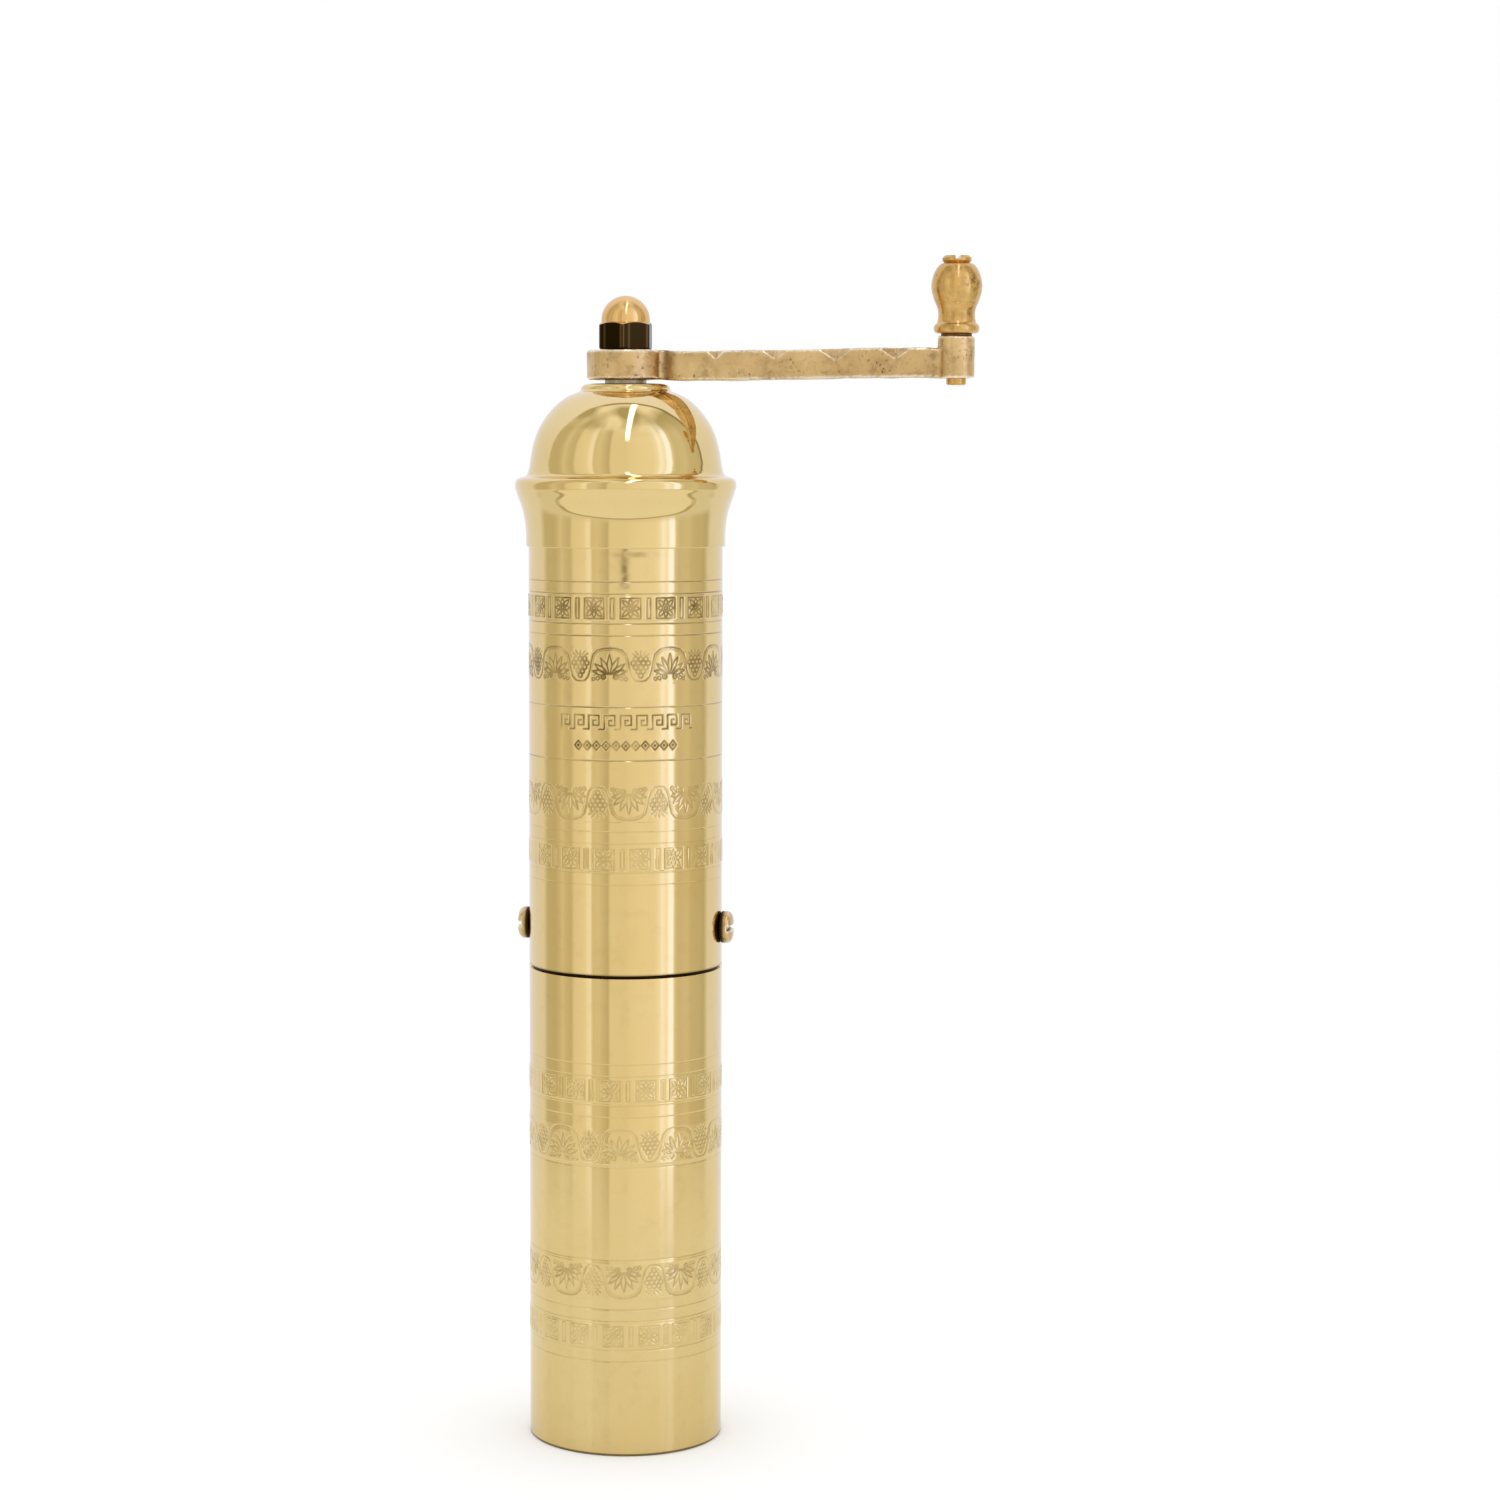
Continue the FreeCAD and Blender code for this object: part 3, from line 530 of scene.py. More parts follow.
# the sleeve is darkened from 122.9 to 124.0 mm as painted shade in the seam between cup and hopper
SLEEVE_BRASS = metal("brass_sleeve", rgb(0.62, 0.46, 0.22), rgb(0.55, 0.38, 0.16),
                     rgb(0.022, 0.012, 0.004), rough=(0.24, 0.38), tarnish=0.3, bump=0.01,
                     painted_shade_bands=((122.9, 124.0),))
# the knob's washer is coloured near black as painted shade in the gap between knob and boss
KNOB_GAP_SHADE = metal("knob_gap_painted_shade", rgb(0.16, 0.09, 0.035), rgb(0.10, 0.05, 0.02),
                     rgb(0.02, 0.01, 0.005), rough=(0.35, 0.5), tarnish=0.6, bump=0.01)
BURR_IRON = metal("iron_burr", rgb(0.27, 0.26, 0.25), rgb(0.22, 0.20, 0.18),
                  rgb(0.05, 0.035, 0.025), rough=(0.35, 0.5), grain=(1, 1, 0.05), pits=0.5,
                  tarnish=0.6, bump=0.02)
STRAP_STEEL = metal("steel_strap", rgb(0.50, 0.50, 0.50), rgb(0.43, 0.42, 0.40),
                    rgb(0.12, 0.09, 0.07), rough=(0.28, 0.40), grain=(1, 0.04, 1), tarnish=0.5,
                    bump=0.01)
BRIGHT_STEEL = metal("steel_bright", rgb(0.62, 0.62, 0.62), rgb(0.55, 0.55, 0.54),
                     rgb(0.18, 0.15, 0.12), rough=(0.14, 0.24), grain=(0.05, 0.05, 1),
                     tarnish=0.3, bump=0.006)
# the spindle is darkened in two thin bands at the ends of its journal, as painted shade
SPINDLE_STEEL = metal("steel_spindle", rgb(0.38, 0.34, 0.24), rgb(0.27, 0.21, 0.12),
                      rgb(0.05, 0.03, 0.015), rough=(0.18, 0.30), grain=(0.05, 0.05, 1),
                      tarnish=0.6, bump=0.008, painted_shade_bands=((272.0, 272.5), (274.3, 274.8)))

BY_SLOT = {
    "tube_brass": TUBE_BRASS, "lid_brass": LID_BRASS, "cast_brass": CAST_BRASS,
    "knob_brass": KNOB_BRASS, "nut_brass": NUT_BRASS, "screw_brass": SCREW_BRASS,
    "inner_brass": PLAIN_BRASS, "burr_iron": BURR_IRON, "strap_steel": STRAP_STEEL,
    "bright_steel": BRIGHT_STEEL,
}
BY_NODE = {"coupling_sleeve": SLEEVE_BRASS, "knob_washer": KNOB_GAP_SHADE, "spindle": SPINDLE_STEEL,
           "knob_axle": KNOB_BRASS}
SLOT_OF = {row["node"]: row["material_slot"] for row in frame["record"]["subparts"]}


def finish_cad_nodes():
    """Every node that shows as it is gets the material of its slot, or one of its own."""
    for name, node in frame["nodes"].items():
        node.data.materials.clear()
        node.data.materials.append(BY_NODE.get(name, BY_SLOT[SLOT_OF[name]]))


# ---- tubes ---------------------------------------------------------------------------------------
ROSETTE_STROKES = rosette_cell()
FRIEZE_STROKES = frieze_cell()
PANEL_STROKES = panel_strokes()


def rosette_band(middle, angle, depth, dark, raised=0.10):
    return (middle, ROSETTE_HALF, ROSETTES, angle, ROSETTE_STROKES, False, depth, dark, raised)


def frieze_band(middle, angle, flipped, depth, dark, raised=0.03):
    return (middle, FRIEZE_HALF, ARCHES, angle, FRIEZE_STROKES, flipped, depth, dark, raised)


def ring_lines(middle, panel, above, below):
    """Ring lines by offset: (height, depth, dark); above and below hold each side's last two."""
    rings = {}
    for offset in (panel,) + RING_OFFSETS:
        rings[offset] = (middle + offset,) + above
        rings[-offset] = (middle - offset,) + below
    return rings


# the body a tube rides on, the CAD node it stands for, and the heights of its ends
HOPPER = ("hopper", ("hopper_tube",), HOP_LOW[2], HOP_HIGH[2])
CUP = ("cup", ("grounds_cup",), CUP_LOW[2], CUP_HIGH[2])


def stretch(tube, name, rings, low, high, bands, **more):
    """The piece of tube between two offsets; the tube's own end stands for a missing one."""
    body, replaced, foot, top = tube
    z0 = foot if low is None else rings[low][0]
    z1 = top if high is None else rings[high][0]
    inside = [ring for ring in rings.values() if z0 <= ring[0] <= z1]
    tube_piece(name, z0, z1, inside, bands, body, replaced, **more)


def build_tubes():
    outer = RING_OFFSETS[0]
    rings = ring_lines(HOP_MID, HOP_PANEL, (0.15, 0.95), (0.07, 0.22))
    for offset in (HOP_PANEL, -HOP_PANEL):
        rings[offset] = (HOP_MID + offset, 0.17, 0.95)
    stretch(HOPPER, "hopper_top", rings, outer, None,
            [rosette_band(HOP_MID + ROSETTE_OFFSET, 2.8, 0.15, 1.0)], ends=(0.0, 0.3), seed=11,
            marks=((-0.6, 1.0, 221.8, 231.9, 0.85), (-1.0, 1.5, 221.6, 222.0, 0.4),
                   (-1.0, 1.5, 224.0, 224.2, 0.4), (4.0, 5.5, 229.6, 230.9, 0.5)))
    stretch(HOPPER, "hopper_frieze_upper", rings, HOP_PANEL, outer,
            [frieze_band(HOP_MID + FRIEZE_OFFSET, -9.4, False, 0.12, 0.95)], seed=12)
    stretch(HOPPER, "hopper_panel", rings, -HOP_PANEL, HOP_PANEL,
            [(HOP_MID, PANEL_HALF, 0, 0, PANEL_STROKES, False, 0.15, 1.0, 0.0)], seed=13)
    stretch(HOPPER, "hopper_frieze_lower", rings, -outer, -HOP_PANEL,
            [frieze_band(HOP_MID - FRIEZE_OFFSET, 1.8, True, 0.13, 0.46, 0.05)], seed=14)
    # the hopper's foot has a painted shade along its lower edge, in the seam over the cup
    stretch(HOPPER, "hopper_foot", rings, None, -outer,
            [rosette_band(HOP_MID - ROSETTE_OFFSET, 8.0, 0.12, 0.26)], ends=(0.12, 0.0), seed=15,
            rim=(0.9, 0.1))

    rings = ring_lines(CUP_MID, CUP_PANEL, (0.06, 0.18), (0.06, 0.25))
    stretch(CUP, "cup_top", rings, outer, None,
            [rosette_band(CUP_MID + ROSETTE_OFFSET, -9.5, 0.12, 0.22)], ends=(0.0, 0.1), seed=21)
    stretch(CUP, "cup_frieze_upper", rings, CUP_PANEL, outer,
            [frieze_band(CUP_MID + FRIEZE_OFFSET, -4.0, False, 0.13, 0.3, 0.06)], seed=22)
    stretch(CUP, "cup_middle", rings, -CUP_PANEL, CUP_PANEL, [], seed=23)
    stretch(CUP, "cup_frieze_lower", rings, -outer, -CUP_PANEL,
            [frieze_band(CUP_MID - FRIEZE_OFFSET, -1.5, True, 0.14, 0.40, 0.05)], seed=24)
    # the cup's foot has a painted shade along its lower edge, where it stands on the table
    stretch(CUP, "cup_foot", rings, None, -outer,
            [rosette_band(CUP_MID - ROSETTE_OFFSET, -7.5, 0.13, 0.25)], ends=(0.2, 0.0), seed=25,
            rim=(1.0, 0.55))


# ---- lid -----------------------------------------------------------------------------------------
def build_lid():
    """Lid: cove, bead, dome and crown outside, and the thin wall's inside."""
    lip, top = LID_LOW[2], LID_HIGH[2]
    outer = spline([(25.65, lip + 0.15), (25.66, 233.6), (25.72, 235.6), (25.95, 237.9),
                    (26.35, 240.2), (26.95, 242.3), (27.65, 244.2), (28.12, 245.7),
                    (28.42, 246.6), (28.47, 247.5), (28.35, 248.3), (27.85, 249.0),
                    (26.9, 249.45), (26.0, 249.7), (25.35, 250.2), (25.05, 251.0)], 6)
    dome = spline([(25.05, 251.0), (24.75, 252.4), (24.45, 254.4), (24.05, 256.6), (23.45, 259.0),
                   (22.6, 261.3), (21.55, 263.3), (20.2, 265.3), (18.5, 267.3), (16.6, 269.0),
                   (14.7, 270.2), (13.0, 270.95), (11.95, 271.35)], 8)[1:]
    crown = spline([(11.95, 271.35), (11.5, 271.8), (11.4, 272.3), (11.05, 272.85),
                    (10.3, top - 0.08), (9.4, top), (8.6, top), (7.62, top)], 6)[1:]
    inner = [(7.62, top - 1.2), (9.9, top - 1.2)]
    inner += spline([(9.9, top - 1.2), (11.2, 270.7), (13.2, 269.75), (16.3, 267.75),
                     (19.35, 264.5), (21.55, 260.8), (22.8, 257.2), (23.4, 253.6),
                     (23.75, 250.0)], 4)[1:]
    inner += [(23.75, 248.95), (26.0, 248.9)]
    inner += spline([(26.0, 248.9), (27.0, 248.4), (27.3, 247.2), (27.1, 245.8), (26.2, 242.8),
                     (25.4, 239.6), (25.08, 237.0)], 4)[1:]
    inner += [(25.08, lip), (25.5, lip)]
    profile = outer + dome + crown + inner
    mesh = mesh_from_grid("lid_spinning", lathe(profile, 336, wobble=0.00006))
    add_piece("lid_spinning", mesh, "lid", LID_BRASS, ("dome_lid",))


# ---- knob ----------------------------------------------------------------------------------------
def build_knob():
    """Turned knob, with darker patches where hands have left it."""
    low, top = KNOB_LOW[2], KNOB_HIGH[2]
    bore = 2.6
    outer = spline([(4.75, low + 0.02), (5.2, low + 0.14), (5.58, low + 0.55), (5.72, low + 1.1),
                    (5.7, low + 1.65), (5.52, low + 2.1), (5.36, low + 2.3)], 5)
    outer += spline([(5.3, low + 2.34), (5.02, low + 2.6), (4.8, low + 3.1), (4.66, low + 4.0),
                     (4.62, low + 4.9), (4.72, low + 5.8), (5.0, low + 6.8), (5.38, low + 7.6)], 5)
    outer += [(5.33, low + 7.72), (5.43, low + 7.84)]
    outer += spline([(5.46, low + 7.9), (5.8, low + 8.8), (6.15, low + 10.0), (6.37, low + 11.3),
                     (6.38, low + 12.3), (6.2, low + 13.6), (5.85, low + 14.8),
                     (5.4, low + 15.8), (4.9, low + 16.6), (4.35, low + 17.2), (3.9, top)], 6)
    profile = outer + [(bore, top), (bore, low)]
    grid = lathe(profile, 220, KNOB_X, wobble=0.0015)
    spots = grid.reshape(-1, 3)
    degrees = np.degrees(np.arctan2(spots[:, 1], spots[:, 0] - KNOB_X))
    handled = np.zeros(len(spots))
    for angle, rise, wide, tall, dark in ((-42, 12.6, 26, 2.4, 0.95), (-38, 6.2, 15, 2.2, 0.95),
                                          (-112, 9.5, 20, 3.0, 0.25), (60, 11.0, 30, 3.0, 0.4)):
        off = ((degrees - angle) / wide) ** 2 + ((spots[:, 2] - low - rise) / tall) ** 2
        handled += dark * np.exp(-off)
    patchy = smooth_step(swell(spots, ((0.7, 1.0), (1.9, 0.8))), -0.15, 0.35)
    mesh = mesh_from_grid("knob_turning", grid, np.clip(handled * patchy, 0, 1))
    add_piece("knob_turning", mesh, "knob", KNOB_BRASS, ("knob",))


# ---- pieces softened from their CAD solids -------------------------------------------------------
def softened(node, voxel, passes, shape=None):
    """A remeshed copy of a CAD node with eased edges; shape moves its points, given in mm."""
    work = bpy.data.objects.new("work", frame["nodes"][node].data.copy())
    SCENE.collection.objects.link(work)
    remesh = work.modifiers.new("remesh", "REMESH")
    remesh.mode = "VOXEL"
    remesh.voxel_size = voxel * MM
    ease = work.modifiers.new("ease", "SMOOTH")
    ease.factor = 0.5
    ease.iterations = passes
    depsgraph = bpy.context.evaluated_depsgraph_get()
    mesh = bpy.data.meshes.new_from_object(work.evaluated_get(depsgraph))
    bpy.data.objects.remove(work)
    if shape:
        spots, facing = read_points(mesh)
        mesh.vertices.foreach_set("co", (shape(spots, facing) * MM).astype(np.float32).ravel())
        mesh.update()
    mesh.shade_smooth()
    return mesh


def read_points(mesh):
    """Places in mm and normals of a mesh's vertices, as two (count, 3) arrays."""
    spots = np.empty(len(mesh.vertices) * 3, np.float32)
    facing = np.empty_like(spots)
    mesh.vertices.foreach_get("co", spots)
    mesh.vertex_normals.foreach_get("vector", facing)
    return spots.reshape(-1, 3) / MM, facing.reshape(-1, 3)


def weather(mesh, stain, rub=(0.12, 0.5), grime=(0.12, 0.5), strength=0.6):
    """Stores "worn", where edges are rubbed bright, partly a painted highlight, and a dark mark:
    tarnish in hollows, plus the painted shade that stain gives.

    rub and grime are the bends, in 1/mm, at which each begins and is full.
    """
    spots, facing = read_points(mesh)
    pairs = np.empty(len(mesh.edges) * 2, np.int32)
    mesh.edges.foreach_get("vertices", pairs)
    a, b = pairs.reshape(-1, 2).T
    step = spots[b] - spots[a]
    square = np.maximum((step ** 2).sum(1), 1e-6)
    bend = np.zeros(len(spots))
    count = np.bincount(a, minlength=len(spots)) + np.bincount(b, minlength=len(spots))
    np.add.at(bend, a, (facing[a] * step).sum(1) / square)
    np.add.at(bend, b, -(facing[b] * step).sum(1) / square)
    bend /= np.maximum(count, 1)
    for _ in range(2):
        spread = np.zeros(len(spots))
        np.add.at(spread, a, bend[b])
        np.add.at(spread, b, bend[a])
        bend = 0.4 * bend + 0.6 * spread / np.maximum(count, 1)
    x, y, z = spots.T
    # dark tarnish in the hollows, plus the painted shade that stain gives
    patina_and_shade = np.clip(strength * smooth_step(bend, *grime) + stain(x, y, z), 0, 1)
    worn = smooth_step(-bend, *rub) * (1 - patina_and_shade)
    for name, values in (("patina_and_shade", patina_and_shade), ("worn", worn)):
        layer = mesh.attributes.new(name, "FLOAT", "POINT")
        layer.data.foreach_set("value", values.astype(np.float32))


def swell(spots, scales):
    """Slow random unevenness at each place: a sum of noises, as (per mm, weight) scales."""
    total = np.zeros(len(spots))
    for per_mm, weight in scales:
        total += weight * np.array([noise.noise(Vector(spot * per_mm)) for spot in spots])
    return total


def cast_shape(spots, facing):
    """The arm hangs a little by the hub and lifts towards the boss, and its skin is uneven."""
    x = spots[:, 0]
    sag = -0.35 * smooth_step(x, 8.5, 14.0) * (1 - smooth_step(x, 20.0, 60.0))
    lift = 0.2 * smooth_step(x, 40.0, 74.0) * (1 - smooth_step(x, 77.0, 80.5))
    uneven = 0.16 * swell(spots, ((0.16, 1.0), (0.45, 0.5), (1.3, 0.25)))
    out = spots + facing * uneven[:, None]
    out[:, 2] += sag + lift
    return out


def cast_painted_shade(x, y, z):
    """Painted shade in the waist by the hub, in the rough hollow by the boss, and in blotchy patches
    by the notches between, stronger low on the arm.
    """
    hub = 0.8 * np.exp(-((x - 11.0) / 0.85) ** 2) + 0.25 * np.exp(-((x - 12.6) / 1.4) ** 2)
    boss = 0.5 * np.exp(-((x - 79.2) / 1.4) ** 2)
    uneven = swell(np.stack([x, y, z], axis=-1), ((0.55, 1.0), (1.6, 0.6)))
    rough = np.clip(0.55 + 1.5 * uneven, 0, 1.3)
    arm = sum(np.exp(-((x - place) / 2.6) ** 2) for place in (22.0, 37.5, 43.0, 57.0, 66.5))
    low = smooth_step(-z, -281.0, -277.0)
    return hub + boss * rough + 0.38 * arm * rough * (0.4 + 0.6 * low)


def build_crank():
    mesh = softened("crank_arm", 0.27, 1, cast_shape)
    weather(mesh, cast_painted_shade)
    add_piece("crank_casting", mesh, "crank", CAST_BRASS, ("crank_arm",))


def build_nut():
    """Cap nut: a hexagon with eased corners under a dome, with its flats tarnished nearly black."""
    low, columns = NUT_LOW[2], 480
    hex_top = low + NUT_HEX_H
    dome_z = NUT_HIGH[2] - NUT_DOME_R
    corner = NUT_FLATS / math.sqrt(3)
    inner = NUT_FLATS / 2 - 0.15
    chamfer = math.tan(math.radians(30))
    drop = (corner - inner) * chamfer
    angles = np.arange(columns) * 2 * math.pi / columns
    facet = ((np.degrees(angles) - NUT_CORNER) / 60) % 6
    across = facet % 1
    flat_r = NUT_FLATS / 2 / np.cos(np.radians((across - 0.5) * 60))
    rise = np.linspace(0, drop, 9)
    heights = np.concatenate([low + rise, np.linspace(low + drop, hex_top - drop, 7)[1:-1],
                              (hex_top - rise)[::-1]])
    rows_r, rows_z, rows_dark = [], [], []
    # how far the near-black tarnish is lifted: by flat, a painted light and shade that is lightest on
    # the front-right and right flats and darkest on the front-left one, and painted highlight streaks
    # along each flat, near its corners and a fifth of the way across
    wear = np.array([0.03, 0.035, 0.02, 0.015, 0.01, 0.003])[facet.astype(int)]
    for place, half, strength in ((0.22, 0.04, 0.10), (0.93, 0.035, 0.14), (0.02, 0.03, 0.16)):
        wear += strength * np.exp(-((across - place) / half) ** 2)
    for z in heights:
        cone = inner + min(z - low, hex_top - z) / chamfer
        limit = min(cone, corner - 0.1)
        rows_r.append((flat_r ** -70 + limit ** -70) ** (-1 / 70))     # the lesser, eased
        rows_z.append(np.full(columns, z))
        rubbed = smooth_step(flat_r - cone, -0.04, 0.06) if z > low + 3 else 0.0
        rows_dark.append((1 - wear) * (1 - rubbed))
    rest = [(NUT_DOME_R + 0.03, hex_top), (NUT_DOME_R, hex_top + 0.04)]
    rest += [(NUT_DOME_R * math.cos(a), dome_z + NUT_DOME_R * math.sin(a))
             for a in np.linspace(0, math.pi / 2 - 0.004, 28)]
    rest += [(0.02, NUT_BORE_TIP), (NUT_BORE_R, NUT_BORE_TOP), (NUT_BORE_R, low)]
    for r, z in rest:
        rows_r.append(np.full(columns, r))
        rows_z.append(np.full(columns, z))
        rows_dark.append(np.full(columns, 0.9 if z < hex_top + 0.02 else 0.0))
    r, z = np.array(rows_r), np.array(rows_z)
    grid = np.stack([r * np.cos(angles), r * np.sin(angles), z], axis=-1)
    mesh = mesh_from_grid("acorn_nut", grid, np.array(rows_dark))
    add_piece("acorn_nut", mesh, "nut", NUT_BRASS, ("cap_nut",))


def build_screws():
    """Side screws, with painted shade where their heads meet the tube."""
    mesh = softened("side_screws", 0.12, 3)

    def painted_neck_shade(x, y, z):
        return 1 - smooth_step(np.abs(x), TUBE_R + 0.6, TUBE_R + 1.5)

    weather(mesh, painted_neck_shade, strength=0.9)
    add_piece("side_screw_heads", mesh, "hopper", SCREW_BRASS, ("side_screws",))


def build_spring():
    """Burr spring with close, ground end turns."""
    low, high = SPRING_LOW[2], SPRING_HIGH[2]
    wire, turns, steps, sides = 0.6, 6, 64, 14
    coil_r = SPRING_HIGH[0] - wire
    close = 1.25                        # pitch of the end turns
    ground = 0.3                        # wire left under the middle of the ground ends
    t = np.linspace(0, turns, turns * steps + 1)
    opened = smooth_step(t, 0.7, 1.3) * (1 - smooth_step(t, turns - 1.3, turns - 0.7))
    height = high - low - 2 * ground
    pitch = close + opened * (height - turns * close) / opened.mean() / turns
    rise = np.concatenate([[0.0], np.cumsum((pitch[1:] + pitch[:-1]) / 2)])
    middle_z = low + ground + height * rise / rise[-1]
    section = np.arange(sides) * 2 * math.pi / sides
    r = coil_r + wire * np.cos(section)[None, :]
    z = np.clip(middle_z[:, None] + wire * np.sin(section)[None, :], low, high)
    angle = 2 * math.pi * t[:, None]
    points = np.stack([r * np.cos(angle), r * np.sin(angle), z], axis=-1) * MM
    last = turns * steps
    faces = []
    for i in range(last):
        a, b = i * sides, (i + 1) * sides
        faces += [(a + k, b + k, b + (k + 1) % sides, a + (k + 1) % sides) for k in range(sides)]
    faces += [tuple(range(sides)), tuple(last * sides + k for k in reversed(range(sides)))]
    mesh = bpy.data.meshes.new("spring_coil")
    mesh.from_pydata(points.reshape(-1, 3).tolist(), [], faces)
    mesh.shade_smooth()
    mesh.set_sharp_from_angle(angle=SHARP)
    burr_top, washer_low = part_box("male_burr")[1][2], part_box("spring_washer")[0][2]
    add_piece("spring_coil", mesh, "thrust", BRIGHT_STEEL, ("burr_spring",),
              across=("hopper", (0, 0, burr_top), (0, 0, washer_low)))


# ---- studio --------------------------------------------------------------------------------------
def light(level):
    """Colour of a light level: the room's dim parts are warm and its bright ones cool."""
    green, blue = (1.05, 1.4) if level < 1 else (1.4, 3.0)
    return rgb(level, level ** green, level ** blue)


# degrees round from the camera, and how light the room is there
ROOM_LEVELS = (
    (-108, 0.66), (-92, 0.64), (-86, 0.72), (-81, 0.83), (-76, 0.74), (-68, 0.68), (-64, 0.91),
    (-55, 0.95), (-49, 0.99), (-46, 1.08), (-42, 1.10), (-40, 0.81), (-33, 0.85), (-28, 0.77),
    (-21, 0.66), (-18, 0.93), (0, 0.92), (6, 0.97), (20, 1.01), (34, 1.02), (40, 1.09), (44, 1.24),
    (50, 1.13), (53, 1.34), (58, 1.34), (60, 0.90), (65, 0.75), (78, 0.79), (85, 0.70), (98, 0.67),
    (108, 0.61),
)
RAMP_SCALE = 3.2                    # a colour ramp holds no colour over 1
CEILING_DIM = rgb(0.53, 0.51, 0.39)
LAMP = rgb(3.2, 3.5, 5.4)
TABLE = rgb(0.82, 0.86, 0.89)
TABLE_PATCH = rgb(0.97, 1.0, 1.05)
PATCH_OUTLINE = rgb(0.55, 0.52, 0.42)
SWEEP_EDGE = rgb(0.30, 0.26, 0.16)
SWEEP_LOW, SWEEP_HIGH = rgb(0.89, 0.93, 1.07), rgb(1.02, 1.07, 1.35)
SOFT_LIGHT = rgb(1.14, 1.14, 1.14)  # what falls on matt surfaces
WHITE = rgb(1.0, 1.0, 1.0)          # what the camera sees behind the mill


def camera_axes(n, x, y):
    """The parts of a level direction (x, y) to the camera's right and towards the camera."""
    c, s = math.cos(CAMERA_AZIMUTH), math.sin(CAMERA_AZIMUTH)
    right = n.math("ADD", n.math("MULTIPLY", x, c), n.math("MULTIPLY", y, s))
    near = n.math("SUBTRACT", n.math("MULTIPLY", x, s), n.math("MULTIPLY", y, c))
    return right, near


def hypotenuse(n, a, b):
    """Length of the vector (a, b)."""
    return n.math("SQRT", n.math("ADD", n.math("MULTIPLY", a, a), n.math("MULTIPLY", b, b)))


def room_walls(n, turn):
    """A dim room with two windows; turn goes from 0 to 1 round it, with the camera at a half."""
    walls = n.add("ValToRGB", {0: turn})
    ramp = walls.color_ramp
    while len(ramp.elements) < len(ROOM_LEVELS):
        ramp.elements.new(0.5)
    for element, (angle, level) in zip(ramp.elements, ROOM_LEVELS):
        element.position = angle / 360 + 0.5
    for element, (angle, level) in zip(ramp.elements, ROOM_LEVELS):
        element.color = [channel / RAMP_SCALE for channel in light(level)[:3]] + [1]
    return n.mix(1.0, walls.outputs[0], rgb(RAMP_SCALE, RAMP_SCALE, RAMP_SCALE), "MULTIPLY")


def add_ceiling(n, room, right, near, up):
    """A dim ceiling with soft patches of light, and one long lamp that runs a little askew."""
    spot = n.add("CombineXYZ", {0: right, 1: near, 2: up}).outputs[0]
    patch = n.add("TexNoise", {"Vector": spot, "Scale": 2.3, "Detail": 0.6}).outputs[0]
    over = n.mix(n.ramp(patch, 0.44, 0.62), CEILING_DIM, light(1.06))
    ceiling = n.add("MapRange", {0: up, 1: 0.56, 2: 0.92}, interpolation_type="SMOOTHSTEP")
    room = n.mix(ceiling.outputs[0], room, over)
    aside = n.math("SUBTRACT", right, n.math("SUBTRACT", 0.117, n.math("MULTIPLY", near, 0.1)))
    lamp = n.ramp(n.math("ABSOLUTE", aside), 0.054, 0.026)
    lamp = n.math("MULTIPLY", lamp, n.ramp(up, 0.50, 0.66))
    return n.mix(lamp, room, LAMP)


def add_table(n, room, turn, up):
    """The table top, with a bright round patch in front of the mill that has a dim outline."""
    room = n.mix(n.ramp(up, -0.28, -0.38), room, TABLE)
    across = n.math("DIVIDE", n.math("SUBTRACT", turn, 0.5), 0.247)
    along = n.math("DIVIDE", n.math("ADD", up, 0.58), 0.215)
    radius = hypotenuse(n, across, along)
    room = n.mix(n.ramp(radius, 1.10, 1.05), room, PATCH_OUTLINE)
    return n.mix(n.ramp(radius, 1.0, 0.95), room, TABLE_PATCH)


def add_sweep(n, room, right, near, up):
    """The white sweep leans over the mill, and has a dim edge overhead and to the right."""
    lean = n.math("SUBTRACT", near, n.math("MULTIPLY", n.math("MAXIMUM", up, 0.0), 0.2))
    rim = n.math("MULTIPLY", n.ramp(lean, -0.25, -0.29),
                 n.ramp(n.math("ADD", right, up), 0.45, 0.7))
    rim = n.math("MULTIPLY", rim, n.ramp(up, 0.02, 0.12))
    room = n.mix(rim, room, SWEEP_EDGE)
    raised = n.ramp(up, 0.0, 0.15)
    start = n.math("ADD", -0.28, n.math("MULTIPLY", raised, -0.02))
    full = n.math("ADD", -0.42, n.math("MULTIPLY", raised, 0.08))
    tone = n.mix(n.ramp(up, 0.2, 0.9), SWEEP_LOW, SWEEP_HIGH)
    return n.mix(n.ramp(lean, start, full), room, tone)


def build_world():
    """White sweep behind the mill, a dim room in front of it with two windows and a top strip."""
    world = bpy.data.worlds.new("studio")
    SCENE.world = world
    world.use_nodes = True
    world.cycles.sampling_method = "NONE"
    tree = world.node_tree
    tree.nodes.clear()
    n = Nodes(tree)
    x, y, up = n.add("SeparateXYZ", {0: n.add("TexCoord").outputs["Generated"]}).outputs
    right, near = camera_axes(n, x, y)
    turn = n.math("ADD", n.math("DIVIDE", n.math("ARCTAN2", right, near), 2 * math.pi), 0.5)
    room = add_ceiling(n, room_walls(n, turn), right, near, up)
    room = add_table(n, room, turn, up)
    seen = add_sweep(n, room, right, near, up)
    path = n.add("LightPath").outputs
    lit = n.mix(path["Is Diffuse Ray"], seen, SOFT_LIGHT)
    lit = n.mix(path["Is Camera Ray"], lit, WHITE)
    back = n.add("Background", {"Color": lit, "Strength": 1.0})
    n.add("OutputWorld", {"Surface": back.outputs[0]})


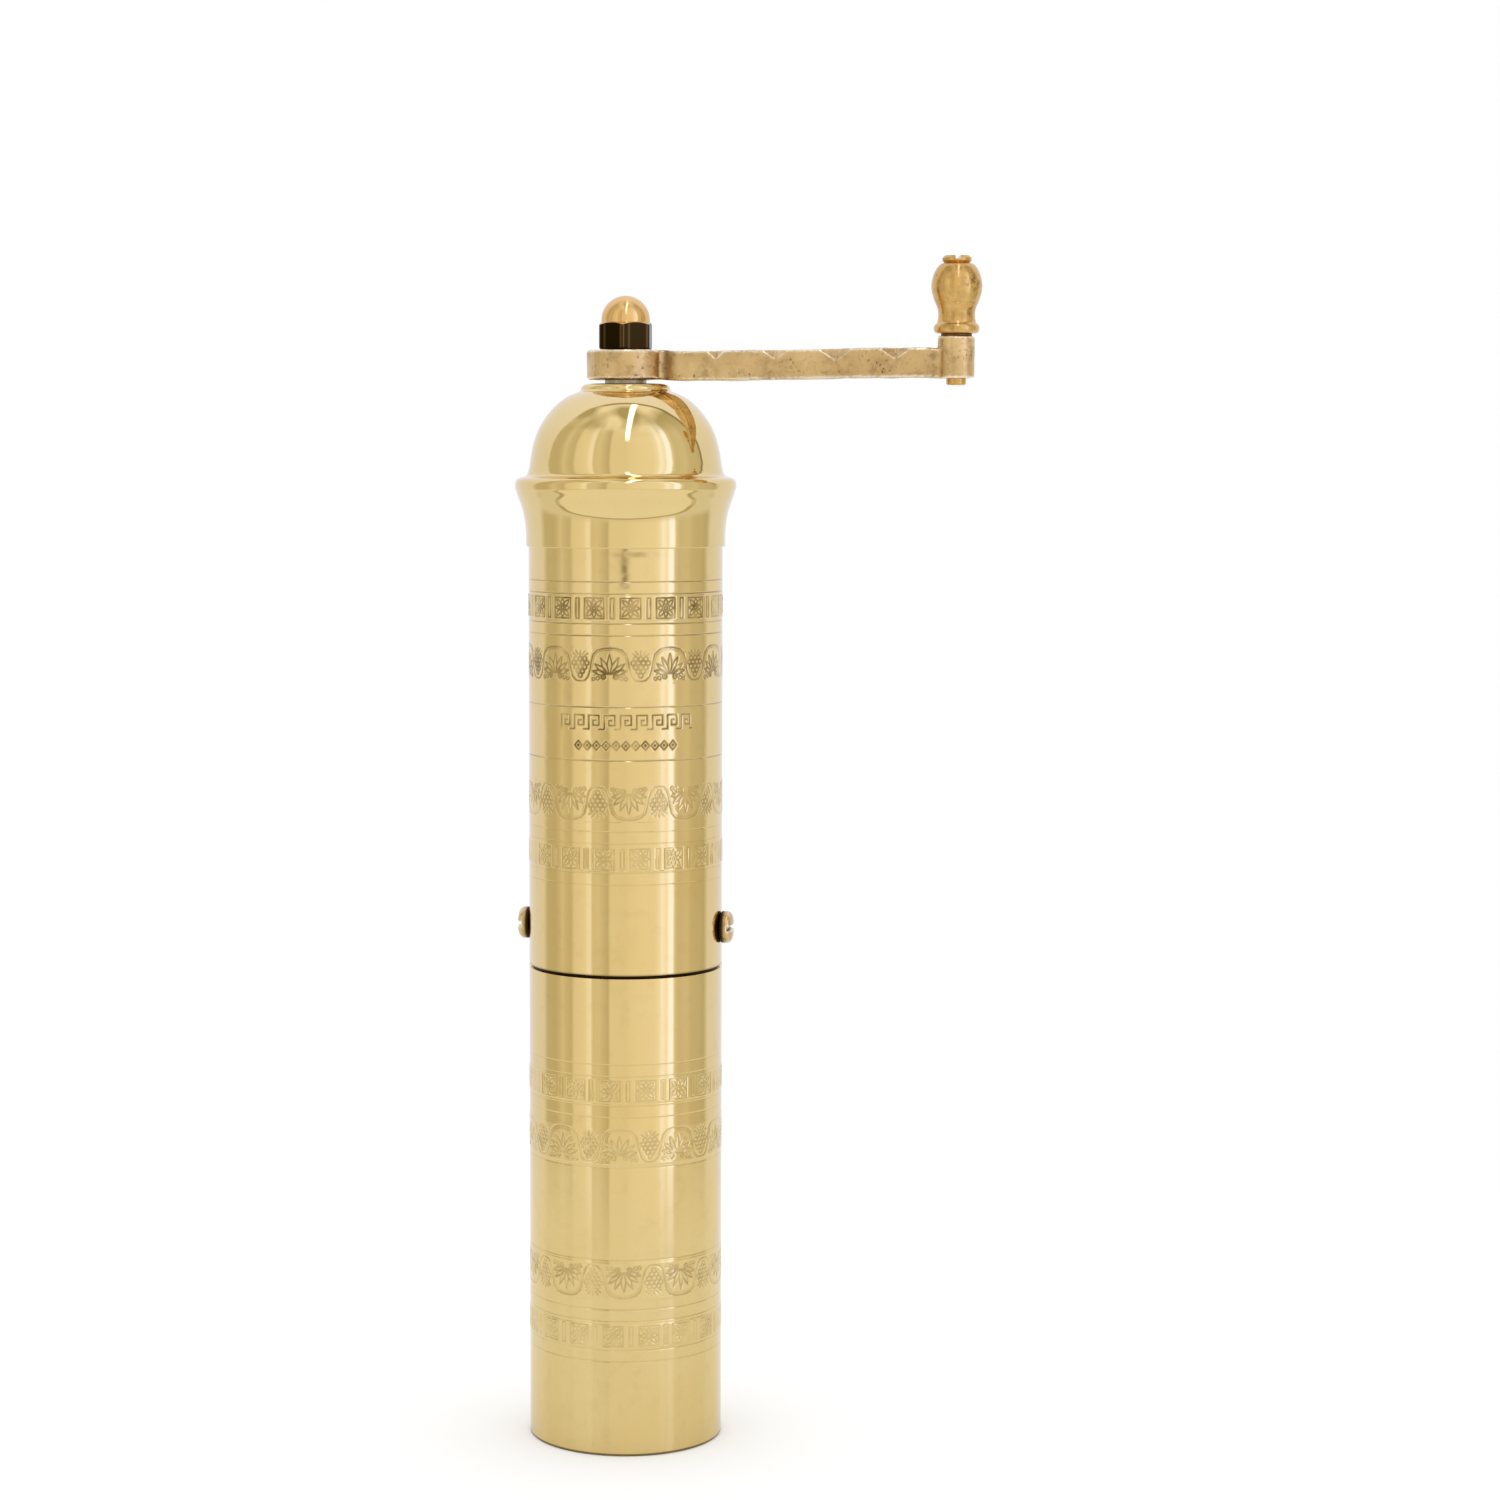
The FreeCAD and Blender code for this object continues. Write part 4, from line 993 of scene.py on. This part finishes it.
def build_floor():
    """A white table top that thins out with distance from the mill, so that it has no edge."""
    reach, rings, sides = 0.45, 24, 96
    verts = [(0, 0, 0)]
    for i in range(1, rings + 1):
        r = reach * i / rings
        for k in range(sides):
            a = 2 * math.pi * k / sides
            verts.append((r * math.cos(a), r * math.sin(a), 0))
    faces = [(0, 1 + k, 1 + (k + 1) % sides) for k in range(sides)]
    for i in range(rings - 1):
        a, b = 1 + i * sides, 1 + (i + 1) * sides
        faces += [(a + k, b + k, b + (k + 1) % sides, a + (k + 1) % sides) for k in range(sides)]
    mesh = bpy.data.meshes.new("floor")
    mesh.from_pydata(verts, [], faces)
    material = bpy.data.materials.new("floor_white")
    material.use_nodes = True
    n = Nodes(material.node_tree)
    shader = material.node_tree.nodes["Principled BSDF"]
    shader.inputs["Roughness"].default_value = 0.9
    shader.inputs["Specular IOR Level"].default_value = 0.0
    place = n.add("TexCoord").outputs["Object"]
    pale = n.mix(n.noise(place, 30.0), rgb(0.965, 0.97, 0.98), rgb(0.98, 0.985, 0.99))
    mirrored_tone = n.mix(n.noise(place, 30.0), rgb(0.81, 0.845, 0.885), rgb(0.83, 0.865, 0.90))
    tint = n.mix(n.add("LightPath").outputs["Is Glossy Ray"], pale, mirrored_tone)
    x, y, _ = n.add("SeparateXYZ", {0: place}).outputs
    side, deep = camera_axes(n, x, y)
    away = hypotenuse(n, n.math("MULTIPLY", side, 0.72), deep)
    material.node_tree.links.new(tint, shader.inputs["Base Color"])
    cover = n.math("MULTIPLY", n.ramp(away, 0.38, 0.19), 0.86)
    material.node_tree.links.new(cover, shader.inputs["Alpha"])
    mesh.materials.append(material)
    floor = bpy.data.objects.new("floor", mesh)
    SCENE.collection.objects.link(floor)
    floor.location.z = CUP_LOW[2] * MM - 0.0001


def build_camera():
    """A long lens in front of the mill, at about the height of its lid, shifted to frame it."""
    data = bpy.data.cameras.new("camera")
    data.sensor_width = 36.0
    data.lens = 79.5
    data.shift_x = 0.0829
    data.shift_y = -0.0215
    data.clip_start = 0.01
    camera = bpy.data.objects.new("camera", data)
    SCENE.collection.objects.link(camera)
    distance, height, pitch = 0.854, 0.2552, math.radians(4.54)
    camera.location = (distance * math.sin(CAMERA_AZIMUTH), -distance * math.cos(CAMERA_AZIMUTH),
                       height)
    camera.rotation_euler = (math.pi / 2 - pitch, 0, CAMERA_AZIMUTH)
    SCENE.camera = camera


finish_cad_nodes()
build_tubes()
build_lid()
build_knob()
build_crank()
build_nut()
build_screws()
build_spring()
build_world()
build_floor()
build_camera()
SCENE.view_settings.view_transform = "Standard"
